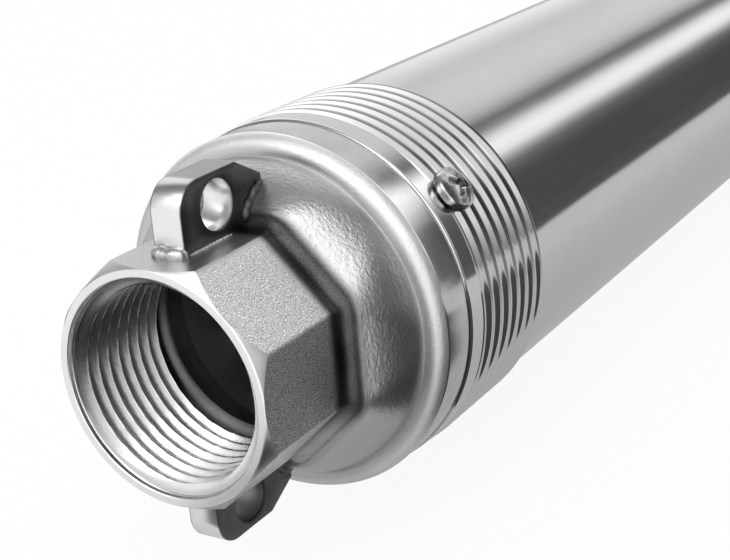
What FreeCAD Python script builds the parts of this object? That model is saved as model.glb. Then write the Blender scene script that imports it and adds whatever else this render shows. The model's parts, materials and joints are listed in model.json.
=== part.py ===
import FreeCAD, Part
import math
import os

# Borehole submersible pump, lying along X.  Millimetres.
# The origin is the centre of the discharge face, +X runs down the pump to the
# motor, +Z is up through the upper rope eye.

# Discharge socket: eight flats outside, pipe thread inside
socket_flats = 36.5
socket_edge_r = 0.8
socket_length = 18.5
face_rim = 1.2
socket_chamfer_length = 2.1
mouth_r = 17.0
mouth_depth = 2.0
thread_minor_r = 15.15
thread_length = 17.3
relief_r = 16.9
relief_length = 3.0
lip_r = 15.6
lip_length = 1.8

# Discharge head behind the socket
root_fillet_r = 2.5
fillet_steps = 4
rim_corner_r = 5.0
dome_steps = 4
dome_bulge = 0.4
dome_round_ratio = 0.97
bead_front_x = 29.75
bead_height = 3.27
bead_length = 1.65
bead_bulge = 0.55
collar_rise = 0.12
collar_end_x = 38.26
chamber_r = 19.0
head_wall = 4.75
cage_shoulder_x = 40.0
joint_length = 27.74

# Rope eyes: two plates welded on the socket
eye_plate = 5.6
eye_front_x = 6.1
eye_nose_r = 4.4
eye_top_back_x = 19.6
eye_back_x = 25.6
eye_slope_drop = 3.3
eye_hole_x = 14.4
eye_hole_rise = 5.35
eye_rim = 4.95
eye_hole_r = 3.75

# Pump sleeve with a rolled thread near each end
tube_r = 29.55
band_rise = 0.45
sleeve_wall = 1.25
sleeve_edge = 0.3
band_length = 4.1
ridge_count = 7
ridge_pitch = 3.03
ridge_rise = 0.8
ridge_depth = 0.5
ridge_flat = 0.9
seat_gap = 0.05

# Lock screws through the rolled thread
screw_head_r = 3.6
screw_head_height = 2.3
screw_rim = 1.1
screw_shank_r = 1.75
screw_reach = 5.0
screw_x = 45.4
screw_angle = 142.4

# Check valve
cage_ring_wall = 2.5
cage_ring_length = 4.0
cage_arms = 3
cage_arm_width = 3.0
cage_boss_r = 6.0
stem_r = 3.0
stem_gap = 0.06
seat_length = 6.0
seat_bore_r = 12.0
poppet_r = 16.0
poppet_rim = 2.2
poppet_nose_r = 5.0
poppet_nose = 2.2
poppet_edge = 1.0
poppet_proud = 0.2
poppet_lift = 8.0
stem_inset = 2.0
stem_edge = 0.6
seal_inner_r = 12.4
seal_outer_r = 15.0
seal_depth = 1.6
spring_wire = 1.0
spring_mean_r = 7.6
spring_turns = 4.5
spring_sides = 12

# Upper bearing and shaft end
housing_length = 14.0
housing_wall = 1.8
housing_arms = 4
housing_arm_width = 3.0
bearing_length = 9.0
bearing_wall = 3.4
bearing_setback = 1.5
bearing_hub_wall = 2.4
journal_gap = 0.06
sleeve_nut_flats = 11.0
sleeve_nut_length = 3.5
shaft_stub = 1.2
shaft_end_r = 4.0

# Stages
stage_count = 8
stage_pitch = 17.0
impeller_room = 3.95
shroud_wall = 1.0
shroud_start = 1.5
vane_height = 4.0
neck_r = 11.5
neck_wall = 1.3
neck_reach = 1.8
hub_r = 7.0
wear_gap = 0.1
shaft_flats = 9.0
key_gap = 0.05
vane_count = 6
vane_wall = 1.3
vane_inner_r = 9.6
vane_sweep = 62.0
plate_gap = 0.7
plate_wall = 1.0
plate_room = 2.85
hub_gap = 0.3
guide_count = 7
guide_wall = 1.3
guide_inner_r = 12.6
guide_sweep = -48.0
vane_sink = 0.3
vane_bow_ratio = 0.42
end_plate_wall = 1.6
end_plate_inset = 0.8

# Suction casing
eye_plate_wall = 3.0
spider_x = 12.0
spider_bearing_length = 11.0
casing_wall = 4.65
window_length = 36.0
column_count = 4
column_angle = 45.0
column_width = 10.0
flange_length = 8.0
pilot_wall = 2.5
flange_lip = 3.4
pilot_gap = 0.1
pilot_height = 3.0
stud_room = 5.2
stud_r = 2.5
stud_gap = 0.2
stud_depth = 9.0
stud_spare = 2.0
stud_end_gap = 0.5
nut_flats = 8.0
nut_length = 4.2

# Strainer sheet round the suction windows
strainer_sheet = 0.7
strainer_slots = 24
strainer_slot_width = 2.6
strainer_slot_rows = 2
strainer_slot_gap = 4.0
strainer_margin = 5.0

# Coupling between pump shaft and motor shaft
coupling_r = 9.5
coupling_length = 26.0
coupling_web = 3.0
coupling_edge = 0.8

# Cable guard under the pump end
guard_sheet = 0.8
guard_width = 11.0
cable_room = 6.25
guard_clearance = 0.15
guard_ear_length = 10.0
guard_ear_half_width = 12.5
guard_setback = 1.0
guard_screw_angle = 17.0
guard_screw_head_r = 2.6
guard_screw_head_height = 1.3
guard_screw_r = 1.5
guard_screw_depth = 2.6

# Motor
motor_tube_wall = 1.2
bell_length = 14.0
bell_spigot = 12.0
motor_tube_length = 206.0
can_wall = 0.4
can_bore_r = 15.3
core_start = 34.0
core_length = 116.0
core_slots = 12
slot_inset = 1.0
slot_back = 2.5
slot_width = 4.0
slot_gap = 0.1
coil_can_gap = 1.3
coil_tube_gap = 1.85
coil_length = 16.0
coil_bulge_ratio = 0.35
rotor_gap = 0.4
rotor_overlap = 2.0
end_ring_step = 0.7
end_ring_length = 5.0
rotor_shaft_r = 8.0
motor_journal_r = 7.0
motor_bush_wall = 3.2
motor_bush_length = 16.0
spline_r = 5.0
seal_wall = 4.5
seal_seat_length = 4.0
slinger_room = 1.5
slinger_length = 2.0
thrust_disc_room = 2.0
thrust_disc_length = 5.0
pad_count = 6
pad_length = 4.0
pad_inner_r = 7.5
pad_room = 2.5
pad_span = 44.0
lower_bell_length = 22.0
lower_floor = 4.0
breather_r = 3.0
diaphragm_wall = 1.5
diaphragm_depth = 2.5
diaphragm_rim = 7.0
diaphragm_fold = 5.0
cover_wall = 1.5
cover_dome = 8.0
cover_edge = 1.0
cover_slope = 2.0
cover_vents = 4
cover_vent_r = 1.6
cover_vent_circle_r = 9.0
cover_screws = 4
cover_screw_inset = 5.55
cover_screw_r = 1.5
cover_screw_head_r = 2.7
cover_screw_head = 1.6
cover_screw_depth = 6.0
gland_r = 5.0
gland_inset = 6.35
gland_nut_flats = 10.0
gland_nut_length = 5.0
gland_room = 0.6
gland_hole_r = 3.0
gland_hole_depth = 9.0
gland_depth = 11.0
fill_plug_r = 2.5
fill_plug_length = 4.0
fill_plug_step = 1.5

# Radii that follow from the tube and the shafts
socket_chamfer_r = mouth_r + face_rim
collar_r = tube_r + collar_rise
band_r = tube_r + band_rise
ridge_crest_r = tube_r + ridge_rise
ridge_root_r = ridge_crest_r - ridge_depth
eye_hole_height = socket_flats / 2 + eye_hole_rise
eye_top = eye_hole_height + eye_rim
eye_back_height = eye_top - eye_slope_drop
dome_rim_r = socket_flats / 2 + root_fillet_r
bead_foot_r = collar_r - bead_height
sleeve_bore_r = tube_r - sleeve_wall
spigot_r = sleeve_bore_r - seat_gap
cage_bore_r = spigot_r - head_wall
bowl_bore_r = spigot_r - housing_wall
impeller_r = bowl_bore_r - impeller_room
plate_r = bowl_bore_r - plate_room
casing_bore_r = spigot_r - casing_wall
sheet_bore_r = tube_r - strainer_sheet
seal_seat_r = motor_journal_r + seal_wall
flange_bore_r = seal_seat_r + pilot_wall
stud_circle_r = flange_bore_r + flange_lip
column_inner_r = stud_circle_r + stud_room
guard_depth = tube_r + cable_room
guard_clear_r = ridge_crest_r + guard_clearance
guard_seat_r = tube_r + seat_gap
motor_bore_r = tube_r - motor_tube_wall
bell_spigot_r = motor_bore_r - seat_gap
can_outer_r = can_bore_r + can_wall
coil_inner_r = can_outer_r + coil_can_gap
coil_outer_r = motor_bore_r - coil_tube_gap
slot_inner_r = coil_inner_r + slot_inset
slot_outer_r = coil_outer_r - slot_back
rotor_r = can_bore_r - rotor_gap
end_ring_r = rotor_r - end_ring_step
slinger_r = flange_bore_r - slinger_room
gland_radius = tube_r - gland_inset
cover_screw_circle_r = tube_r - cover_screw_inset
diaphragm_fold_r = cover_screw_circle_r - diaphragm_rim
diaphragm_disc_r = diaphragm_fold_r - diaphragm_fold
thrust_bore_r = diaphragm_fold_r
thrust_disc_r = thrust_bore_r - thrust_disc_room
pad_outer_r = thrust_bore_r - pad_room
fill_plug_circle_r = diaphragm_fold_r + fill_plug_step

# Stations along X that follow from the lengths
thread_end_x = mouth_depth + thread_length
lip_x = thread_end_x + relief_length
chamber_x = lip_x + lip_length
seat_x = collar_end_x + joint_length
housing_x = seat_x + seat_length
stack_x = housing_x + housing_length
stack_end_x = stack_x + stage_count * stage_pitch
sleeve_end_x = stack_end_x + joint_length
collar_length = collar_end_x - bead_front_x - bead_length
window_x = sleeve_end_x + collar_length
flange_x = window_x + window_length
motor_x = flange_x + flange_length
motor_tube_x = motor_x + bell_length
motor_tube_end_x = motor_tube_x + motor_tube_length
lower_end_x = motor_tube_end_x + lower_bell_length

ORIGIN = FreeCAD.Vector(0, 0, 0)
ALONG = FreeCAD.Vector(1, 0, 0)


def point(x, radius):
    """A point of a turned outline, drawn in the plane of X and Y."""
    return FreeCAD.Vector(x, radius, 0)


def turned(*steps):
    """Solid turned about X; a step is a point (x, radius), or (middle, end) of an arc."""
    edges = []
    here = steps[0]
    for step in steps[1:] + (steps[0],):
        if isinstance(step[0], tuple):
            middle, end = step
            edges.append(Part.Arc(point(*here), point(*middle), point(*end)).toShape())
        else:
            end = step
            edges.append(Part.LineSegment(point(*here), point(*end)).toShape())
        here = end
    return Part.Face(Part.Wire(edges)).revolve(ORIGIN, ALONG, 360)


def tube(x0, x1, outer, inner):
    """Plain ring or tube along X."""
    return turned((x0, inner), (x0, outer), (x1, outer), (x1, inner))


def rod(x0, x1, radius):
    """Plain round bar along X."""
    return Part.makeCylinder(radius, x1 - x0, FreeCAD.Vector(x0, 0, 0), ALONG)


def box(x0, x1, y0, y1, z0, z1):
    """Block between two corners."""
    return Part.makeBox(x1 - x0, y1 - y0, z1 - z0, FreeCAD.Vector(x0, y0, z0))


def prism(x0, x1, flats, sides, first=0.0):
    """Regular prism along X, by its distance across flats; first turns one corner."""
    corner = flats / 2 / math.cos(math.pi / sides)
    ring = []
    for k in range(sides + 1):
        a = math.radians(first) + 2 * math.pi * (k % sides) / sides
        ring.append(FreeCAD.Vector(x0, corner * math.cos(a), corner * math.sin(a)))
    return Part.Face(Part.makePolygon(ring)).extrude(FreeCAD.Vector(x1 - x0, 0, 0))


def spun(shape, degrees):
    """Copy turned about X."""
    copy = shape.copy()
    copy.rotate(ORIGIN, ALONG, degrees)
    return copy


def shifted(shape, x, y=0.0, z=0.0):
    """Copy moved by the given distances."""
    copy = shape.copy()
    copy.translate(FreeCAD.Vector(x, y, z))
    return copy


def around(shape, count, first=0.0):
    """Copies spaced evenly about X."""
    return [spun(shape, first + 360.0 * k / count) for k in range(count)]


def joined(shapes):
    """One solid out of several that meet."""
    first, rest = shapes[0], shapes[1:]
    return first.fuse(rest).removeSplitter()


def octagon_wire(x, half_flat, edge_r):
    """Eight flats with rounded edges between them, square to X."""
    eighth = math.pi / 4
    edges = []
    corner = half_flat / math.cos(eighth / 2)
    centre = corner - edge_r / math.cos(eighth / 2)
    for k in range(8):
        a = eighth / 2 + k * eighth
        hub = FreeCAD.Vector(x, centre * math.cos(a), centre * math.sin(a))
        arc = []
        for turn in (-eighth / 2, 0.0, eighth / 2):
            away = FreeCAD.Vector(0, math.cos(a + turn), math.sin(a + turn))
            arc.append(hub + away * edge_r)
        edges.append(Part.Arc(*arc).toShape())
        b = a + eighth
        hub = FreeCAD.Vector(x, centre * math.cos(b), centre * math.sin(b))
        away = FreeCAD.Vector(0, math.cos(b - eighth / 2), math.sin(b - eighth / 2))
        edges.append(Part.LineSegment(arc[2], hub + away * edge_r).toShape())
    return Part.Wire(edges)


def socket_body():
    """Octagonal socket, chamfered like a nut at its mouth."""
    outline = Part.Face(octagon_wire(0, socket_flats / 2, socket_edge_r))
    body = outline.extrude(FreeCAD.Vector(socket_length, 0, 0))
    corner_r = socket_flats / 2 / math.cos(math.pi / 8)
    slope = (corner_r - socket_chamfer_r) / socket_chamfer_length
    envelope = turned((0, 0), (0, socket_chamfer_r),
                      (socket_length, socket_chamfer_r + slope * socket_length),
                      (socket_length, 0))
    return body.common(envelope)


def octagon_loft(stations):
    """Smooth solid through rounded octagons, each given by x, half width and edge radius."""
    return Part.makeLoft([octagon_wire(*station) for station in stations], True, False)


def root_fillet():
    """Hollow curve from the eight flats up to the dome's rim."""
    stations = []
    for k in range(fillet_steps + 1):
        t = math.pi / 2 * k / fillet_steps
        half = socket_flats / 2 + root_fillet_r * (1 - math.cos(t))
        edge = socket_edge_r + (rim_corner_r - socket_edge_r) * k / fillet_steps
        stations.append((socket_length + root_fillet_r * math.sin(t), half, edge))
    return octagon_loft(stations)


def dome():
    """Domed shoulder from its eight sided rim out to the round bead."""
    x0 = socket_length + root_fillet_r
    stations = []
    for k in range(dome_steps + 1):
        u = k / dome_steps
        half = dome_rim_r + (bead_foot_r - dome_rim_r) * (u + dome_bulge * u * (1 - u))
        edge = rim_corner_r + (dome_round_ratio * bead_foot_r - rim_corner_r) * u
        stations.append((x0 + (bead_front_x - x0) * u, half, edge))
    return octagon_loft(stations)


def head_outside():
    """Socket, dome, bead, collar and the spigot that screws into the sleeve."""
    bead_end_x = bead_front_x + bead_length
    bead_middle = (bead_front_x + bead_length / 2 - bead_bulge,
                   (bead_foot_r + collar_r) / 2 + bead_bulge)
    shell = turned((bead_front_x, 0), (bead_front_x, bead_foot_r),
                   (bead_middle, (bead_end_x, collar_r)),
                   (collar_end_x, collar_r), (collar_end_x, spigot_r),
                   (seat_x, spigot_r), (seat_x, 0))
    return joined([socket_body(), root_fillet(), dome(), shell])


def head_bore():
    """Waterway of the head: thread, relief, lip, valve chamber and cage bore."""
    return turned((0, 0), (0, mouth_r), (mouth_depth, thread_minor_r),
                  (thread_end_x, thread_minor_r), (thread_end_x, relief_r),
                  (lip_x, relief_r), (lip_x, lip_r), (chamber_x, lip_r),
                  (chamber_x + chamber_r - lip_r, chamber_r),
                  (cage_shoulder_x, chamber_r), (cage_shoulder_x, cage_bore_r),
                  (seat_x, cage_bore_r), (seat_x, 0))


def screw_place(shape, x, angle):
    """Stands a screw, built along +Z from the axis, at x and an angle from +Y."""
    copy = shape.copy()
    copy.rotate(ORIGIN, ALONG, angle - 90)
    copy.translate(FreeCAD.Vector(x, 0, 0))
    return copy


def dome_middle_point(rise, radius):
    """Middle of a spherical dome's outline: its distance from the axis and its fall."""
    sphere_r = (rise * rise + radius * radius) / (2 * rise)
    half_angle = math.asin(radius / sphere_r) / 2
    return sphere_r * math.sin(half_angle), sphere_r * (1 - math.cos(half_angle))


def pan_screw(seat_radius, head_r, head_height, rim, shank_r, reach):
    """Low domed screw with its head on seat_radius, along +Z."""
    top = seat_radius + head_height
    middle_r, fall = dome_middle_point(head_height - rim, head_r)
    edges = [
        Part.LineSegment(FreeCAD.Vector(0, 0, seat_radius - reach),
                         FreeCAD.Vector(shank_r, 0, seat_radius - reach)),
        Part.LineSegment(FreeCAD.Vector(shank_r, 0, seat_radius - reach),
                         FreeCAD.Vector(shank_r, 0, seat_radius)),
        Part.LineSegment(FreeCAD.Vector(shank_r, 0, seat_radius),
                         FreeCAD.Vector(head_r, 0, seat_radius)),
        Part.LineSegment(FreeCAD.Vector(head_r, 0, seat_radius),
                         FreeCAD.Vector(head_r, 0, seat_radius + rim)),
        Part.Arc(FreeCAD.Vector(head_r, 0, seat_radius + rim),
                 FreeCAD.Vector(middle_r, 0, top - fall),
                 FreeCAD.Vector(0, 0, top)),
        Part.LineSegment(FreeCAD.Vector(0, 0, top),
                         FreeCAD.Vector(0, 0, seat_radius - reach)),
    ]
    outline = Part.Wire([edge.toShape() for edge in edges])
    return Part.Face(outline).revolve(ORIGIN, FreeCAD.Vector(0, 0, 1), 360)


def lock_screw():
    """Lock screw with its head on the ridge crests."""
    return pan_screw(ridge_crest_r, screw_head_r, screw_head_height, screw_rim,
                     screw_shank_r, screw_reach)


def lock_hole():
    """Clearance for one lock screw, deep enough for its shank."""
    depth = screw_reach + seat_gap
    hole = Part.makeCylinder(screw_shank_r + seat_gap, depth + 1)
    return shifted(hole, 0, 0, ridge_crest_r - depth)


def lock_places():
    """Positions of the lock screws: one at each end of the sleeve."""
    lower_x = sleeve_end_x - (screw_x - collar_end_x)
    return [(screw_x, screw_angle), (lower_x, screw_angle)]


def without_lock_holes(shape):
    """Drills both lock screw holes."""
    for x, angle in lock_places():
        shape = shape.cut(screw_place(lock_hole(), x, angle))
    return shape


def discharge_head():
    """Cast head with its threaded outlet."""
    return without_lock_holes(head_outside().cut(head_bore()))


def rope_eye(head):
    """Plate with a round eye, shaped to the socket and dome it is welded to."""
    half = eye_plate / 2
    nose = eye_nose_r * (1 - math.sqrt(0.5))
    corners = [
        (eye_front_x, 0), (eye_front_x, eye_top - eye_nose_r),
        (eye_front_x + eye_nose_r, eye_top), (eye_top_back_x, eye_top),
        (eye_back_x, eye_back_height), (eye_back_x, 0),
    ]
    at = [FreeCAD.Vector(x, -half, z) for x, z in corners]
    bend = FreeCAD.Vector(eye_front_x + nose, -half, eye_top - nose)
    edges = [Part.LineSegment(at[0], at[1]).toShape(), Part.Arc(at[1], bend, at[2]).toShape()]
    for k in range(2, 6):
        edges.append(Part.LineSegment(at[k], at[(k + 1) % 6]).toShape())
    plate = Part.Face(Part.Wire(edges)).extrude(FreeCAD.Vector(0, eye_plate, 0))
    hole = Part.makeCylinder(eye_hole_r, eye_plate,
                             FreeCAD.Vector(eye_hole_x, -half, eye_hole_height),
                             FreeCAD.Vector(0, 1, 0))
    return plate.cut(hole).cut(head)


def ridge_steps(start_x):
    """Rolled ridges of one end, as outline points from start_x towards +X."""
    flank = (ridge_pitch - 2 * ridge_flat) / 2
    steps = []
    x = start_x
    for k in range(ridge_count):
        steps += [(x + flank, ridge_root_r), (x + flank + ridge_flat, ridge_root_r),
                  (x + 2 * flank + ridge_flat, ridge_crest_r),
                  (x + ridge_pitch, ridge_crest_r)]
        x += ridge_pitch
    return steps


def pump_sleeve():
    """Thin tube with a rolled thread and a plain band at both ends."""
    x0, x1 = collar_end_x, sleeve_end_x
    front = [(x0, band_r - sleeve_edge), (x0 + sleeve_edge, band_r),
             (x0 + band_length, band_r)] + ridge_steps(x0 + band_length)
    last = front[-1][0]
    front.append((last + ridge_flat, tube_r))
    back = [(x0 + x1 - x, r) for x, r in reversed(front)]
    body = turned((x0, sleeve_bore_r), *front, *back, (x1, sleeve_bore_r))
    return without_lock_holes(body).cut(guard_screw_holes())


def check_valve_cage():
    """Ring and arms in the head; the boss guides the stem and stops the poppet."""
    x0 = cage_shoulder_x
    boss_end = poppet_neck_x() - poppet_lift
    outer = cage_bore_r - seat_gap
    ring = tube(x0, x0 + cage_ring_length, outer, outer - cage_ring_wall)
    boss = rod(x0, boss_end, cage_boss_r)
    arm = box(x0, x0 + cage_ring_length, 0, outer - cage_ring_wall / 2,
              -cage_arm_width / 2, cage_arm_width / 2)
    flange = rod(x0, x0 + cage_ring_length, spring_mean_r + spring_wire)
    body = joined([ring, boss, flange] + around(arm, cage_arms, 90))
    return body.cut(rod(x0 - 1, boss_end + 1, stem_r + stem_gap))


def valve_seat():
    """Seat ring clamped between the head and the upper bearing housing."""
    return turned((seat_x, seat_bore_r), (seat_x, spigot_r), (housing_x, spigot_r),
                  (housing_x, seat_bore_r + seat_length / 2),
                  (seat_x + seat_length / 2, seat_bore_r))


def poppet_face_x():
    """Face of the poppet when closed; its seal stands proud of it on the seat."""
    return seat_x - poppet_proud


def poppet_neck_x():
    """Where the poppet's back meets its stem, when closed."""
    return poppet_face_x() - 2 * poppet_rim


def valve_poppet():
    """Mushroom poppet: rim, streamlined back and a guide stem."""
    face = poppet_face_x()
    rim = face - poppet_rim
    neck = poppet_neck_x()
    stem_x = cage_shoulder_x + stem_inset
    middle_r, fall = dome_middle_point(poppet_nose, poppet_nose_r)
    return turned((stem_x, 0), (stem_x, stem_r - stem_edge), (stem_x + stem_edge, stem_r),
                  (neck, stem_r), (neck, spring_mean_r + spring_wire),
                  (rim, poppet_r - poppet_edge), (rim + poppet_edge, poppet_r),
                  (face, poppet_r), (face, seal_outer_r),
                  (face - seal_depth, seal_outer_r), (face - seal_depth, seal_inner_r),
                  (face, seal_inner_r), (face, poppet_nose_r),
                  ((face + poppet_nose - fall, middle_r), (face + poppet_nose, 0)))


def valve_seal():
    """Rubber ring in the poppet face, closing on the seat."""
    face = poppet_face_x()
    return tube(face - seal_depth, seat_x, seal_outer_r, seal_inner_r)


def valve_spring():
    """Compression spring between the cage and the back of the poppet."""
    start = cage_shoulder_x + cage_ring_length + spring_wire / 2 + seat_gap
    end = poppet_neck_x() - spring_wire / 2 - seat_gap
    count = round(spring_turns * spring_sides)
    path = []
    for k in range(count + 1):
        a = 2 * math.pi * k / spring_sides
        path.append(FreeCAD.Vector(start + (end - start) * k / count,
                                   spring_mean_r * math.cos(a), spring_mean_r * math.sin(a)))
    ring = Part.makeCircle(spring_wire / 2, path[0], path[1] - path[0])
    return Part.makePolygon(path).makePipeShell([Part.Wire([ring])], True, False, 1)


def bearing_spider(x0, length, hub_x, hub_length, ring_outer, ring_inner, hub_outer):
    """Outer ring, arms and the hub that holds a bearing bush."""
    ring = tube(x0, x0 + length, ring_outer, ring_inner)
    hub = rod(hub_x, hub_x + hub_length, hub_outer)
    arm = box(hub_x, hub_x + hub_length, 0, (ring_outer + ring_inner) / 2,
              -housing_arm_width / 2, housing_arm_width / 2)
    return joined([ring, hub] + around(arm, housing_arms, column_angle))


def bush_bore_r():
    """Seat of the pump bearing bushes in their hubs."""
    return hub_r + journal_gap + bearing_wall


def upper_bearing_housing():
    """Spider above the last stage."""
    hub_x = housing_x + bearing_setback
    body = bearing_spider(housing_x, housing_length, hub_x, bearing_length, spigot_r,
                          bowl_bore_r, bush_bore_r() + bearing_hub_wall)
    body = body.cut(rod(hub_x - 1, hub_x + bearing_length + 1, bush_bore_r()))
    return body.cut(guard_screw_holes())


def bearing_bush(x0, length):
    """Rubber lined bush round the shaft."""
    return tube(x0, x0 + length, bush_bore_r() - seat_gap, hub_r + journal_gap)


def journal_sleeve():
    """Hard sleeve on the shaft inside the upper bearing."""
    body = rod(housing_x + bearing_setback, stack_x, hub_r)
    return body.cut(hex_hole(housing_x, stack_x + 1))


def hex_hole(x0, x1):
    """Hole for the six sided shaft."""
    return prism(x0, x1, shaft_flats + 2 * key_gap, 6)


def sleeve_nut():
    """Nut that clamps the impellers on the shaft."""
    end = housing_x + bearing_setback
    body = prism(end - sleeve_nut_length, end, sleeve_nut_flats, 6)
    return body.cut(rod(end - sleeve_nut_length - 1, end + 1, shaft_end_r + key_gap))


def pump_shaft():
    """Six sided shaft with a threaded top end and a round foot for the coupling."""
    thread_x = housing_x + bearing_setback - sleeve_nut_length - shaft_stub
    hex_x = housing_x + bearing_setback
    foot_x = coupling_x() + (coupling_length - coupling_web) / 2
    hexagon = prism(hex_x, stack_end_x, shaft_flats, 6)
    return joined([rod(thread_x, hex_x, shaft_end_r), hexagon,
                   rod(stack_end_x, foot_x, hub_r)])


def vane(x0, x1, inner, outer, sweep, wall):
    """Curved blade between two radii, swept by the given angle."""
    def at(radius, degrees, side):
        a = math.radians(degrees)
        shift = side * wall / 2
        return FreeCAD.Vector(x0, radius * math.cos(a) - shift * math.sin(a),
                              radius * math.sin(a) + shift * math.cos(a))
    middle_r = (inner + outer) / 2
    a1, a2, a3 = 0.0, sweep * vane_bow_ratio, sweep
    one = [at(inner, a1, -1), at(middle_r, a2, -1), at(outer, a3, -1)]
    two = [at(outer, a3, 1), at(middle_r, a2, 1), at(inner, a1, 1)]
    edges = [Part.Arc(*one), Part.LineSegment(one[2], two[0]), Part.Arc(*two),
             Part.LineSegment(two[2], one[0])]
    outline = Part.Wire([edge.toShape() for edge in edges])
    return Part.Face(outline).extrude(FreeCAD.Vector(x1 - x0, 0, 0))


def impeller():
    """Closed impeller of the stage whose suction end is at x = 0, flowing to -X."""
    front = -shroud_start
    blades = front - shroud_wall
    back = blades - vane_height
    neck_in = neck_r - neck_wall
    hub = rod(-stage_pitch, 0, hub_r)
    shrouds = [
        turned((neck_reach, neck_in), (neck_reach, neck_r), (front, neck_r),
               (front, impeller_r), (blades, impeller_r), (blades, neck_in)),
        tube(back - shroud_wall, back, impeller_r, hub_r - 1),
    ]
    blade = vane(back, blades, vane_inner_r, impeller_r - vane_sink, vane_sweep, vane_wall)
    body = joined([hub] + shrouds + around(blade, vane_count))
    return body.cut(hex_hole(-stage_pitch - 1, 1))


def diffuser():
    """Bowl of one stage: plate behind the impeller, return vanes and end plate."""
    plate = -(shroud_start + 2 * shroud_wall + vane_height + plate_gap)
    guide = plate - plate_wall
    end = -(stage_pitch - end_plate_inset)
    wall = tube(-stage_pitch, 0, spigot_r, bowl_bore_r)
    blade = vane(end + end_plate_wall / 2, guide, guide_inner_r, bowl_bore_r + vane_sink,
                 guide_sweep, guide_wall)
    shapes = [wall, tube(guide, plate, plate_r, hub_r + hub_gap),
              tube(end, end + end_plate_wall, bowl_bore_r + vane_sink, neck_r + wear_gap)]
    return joined(shapes + around(blade, guide_count))


def suction_windows():
    """Openings between the columns of the suction casing."""
    gap = 360.0 / column_count
    half = math.degrees(math.asin(column_width / 2 / tube_r))
    sector = turned_sector(window_x, flange_x, band_r + 1, column_inner_r - 1,
                           gap - 2 * half)
    return around(sector, column_count, column_angle + half)


def turned_sector(x0, x1, outer, inner, degrees):
    """Part of a ring, from +Y turning towards +Z."""
    section = Part.makePolygon([point(x0, inner), point(x0, outer), point(x1, outer),
                                point(x1, inner), point(x0, inner)])
    return Part.Face(section).revolve(ORIGIN, ALONG, degrees)


def suction_casing():
    """Casing with intake windows between the pump sleeve and the motor."""
    body = turned((stack_end_x, neck_r + wear_gap), (stack_end_x, spigot_r),
                  (sleeve_end_x, spigot_r), (sleeve_end_x, collar_r),
                  (window_x, collar_r), (window_x, sheet_bore_r), (flange_x, sheet_bore_r),
                  (flange_x, tube_r), (motor_x, tube_r), (motor_x, flange_bore_r),
                  (flange_x, flange_bore_r), (flange_x, column_inner_r),
                  (window_x, column_inner_r), (window_x - 1, casing_bore_r),
                  (stack_end_x + eye_plate_wall, casing_bore_r),
                  (stack_end_x + eye_plate_wall, neck_r + wear_gap))
    hub_x = stack_end_x + spider_x
    spider = bearing_spider(hub_x, spider_bearing_length, hub_x, spider_bearing_length,
                            casing_bore_r + vane_sink, casing_bore_r,
                            bush_bore_r() + bearing_hub_wall)
    body = joined([body, spider])
    body = body.cut(rod(hub_x - 1, hub_x + spider_bearing_length + 1, bush_bore_r()))
    for window in suction_windows():
        body = body.cut(window)
    hole = stud_hole(flange_x - 1, motor_x + 1, stud_r + stud_gap)
    body = body.cut(around(hole, column_count, column_angle))
    notch_r = gland_nut_flats / 2 / math.cos(math.pi / 6) + gland_room
    notch = joined([
        Part.makeCylinder(notch_r, flange_length + 2,
                          FreeCAD.Vector(flange_x - 1, 0, -gland_radius), ALONG),
        box(flange_x - 1, motor_x + 1, -notch_r, notch_r, -band_r - 1, -gland_radius),
    ])
    return without_lock_holes(body.cut(notch))


def stud_hole(x0, x1, radius):
    """Bar along X on the stud circle, at +Y."""
    return Part.makeCylinder(radius, x1 - x0, FreeCAD.Vector(x0, stud_circle_r, 0), ALONG)


def strainer():
    """Slotted sheet round the intake windows."""
    body = tube(window_x, flange_x, tube_r, sheet_bore_r + seat_gap)
    rows = strainer_slot_rows
    clear = window_length - 2 * strainer_margin - (rows - 1) * strainer_slot_gap
    length = clear / rows
    slots = []
    for row in range(rows):
        x0 = window_x + strainer_margin + row * (length + strainer_slot_gap)
        slot = box(x0, x0 + length, sheet_bore_r - 1, tube_r + 1,
                   -strainer_slot_width / 2, strainer_slot_width / 2)
        slots += around(slot, strainer_slots)
    half = guard_width / 2 - guard_sheet
    cable_gap = box(window_x - 1, flange_x + 1, -half, half, -tube_r - 1, 0)
    return body.cut(slots + [cable_gap])


def coupling_x():
    """Front end of the coupling, in the middle of the windows."""
    return window_x + (window_length - coupling_length) / 2


def coupling():
    """Splined coupling between the two shafts."""
    x0 = coupling_x()
    x1 = x0 + coupling_length
    middle = (x0 + x1) / 2
    half_web = coupling_web / 2
    rim_r = coupling_r - coupling_edge
    body = turned((x0, 0), (x0, rim_r), (x0 + coupling_edge, coupling_r),
                  (x1 - coupling_edge, coupling_r), (x1, rim_r), (x1, 0))
    upper = rod(x0 - 1, middle - half_web, hub_r + key_gap)
    lower = rod(middle + half_web, x1 + 1, spline_r + key_gap)
    return body.cut([upper, lower])


def motor_studs():
    """Four studs in the motor, one solid each."""
    bar = stud_hole(flange_x - nut_length - stud_spare, motor_x + stud_depth, stud_r)
    return Part.makeCompound(around(bar, column_count, column_angle))


def motor_nuts():
    """Nuts on the studs, one solid each."""
    nut = prism(flange_x - nut_length, flange_x, nut_flats, 6)
    nut = shifted(nut, 0, stud_circle_r, 0)
    nut = nut.cut(stud_hole(flange_x - nut_length - 1, flange_x + 1, stud_r + key_gap))
    return Part.makeCompound(around(nut, column_count, column_angle))


def guard_span():
    """Start and end of the cable guard."""
    return housing_x + guard_setback, motor_tube_x - guard_setback


def guard_screw_places():
    """Two screws at each end of the guard."""
    x0, x1 = guard_span()
    places = []
    for x in (x0 + guard_ear_length / 2, x1 - guard_ear_length / 2):
        for side in (-1, 1):
            places.append((x, 270 + side * guard_screw_angle))
    return places


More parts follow.
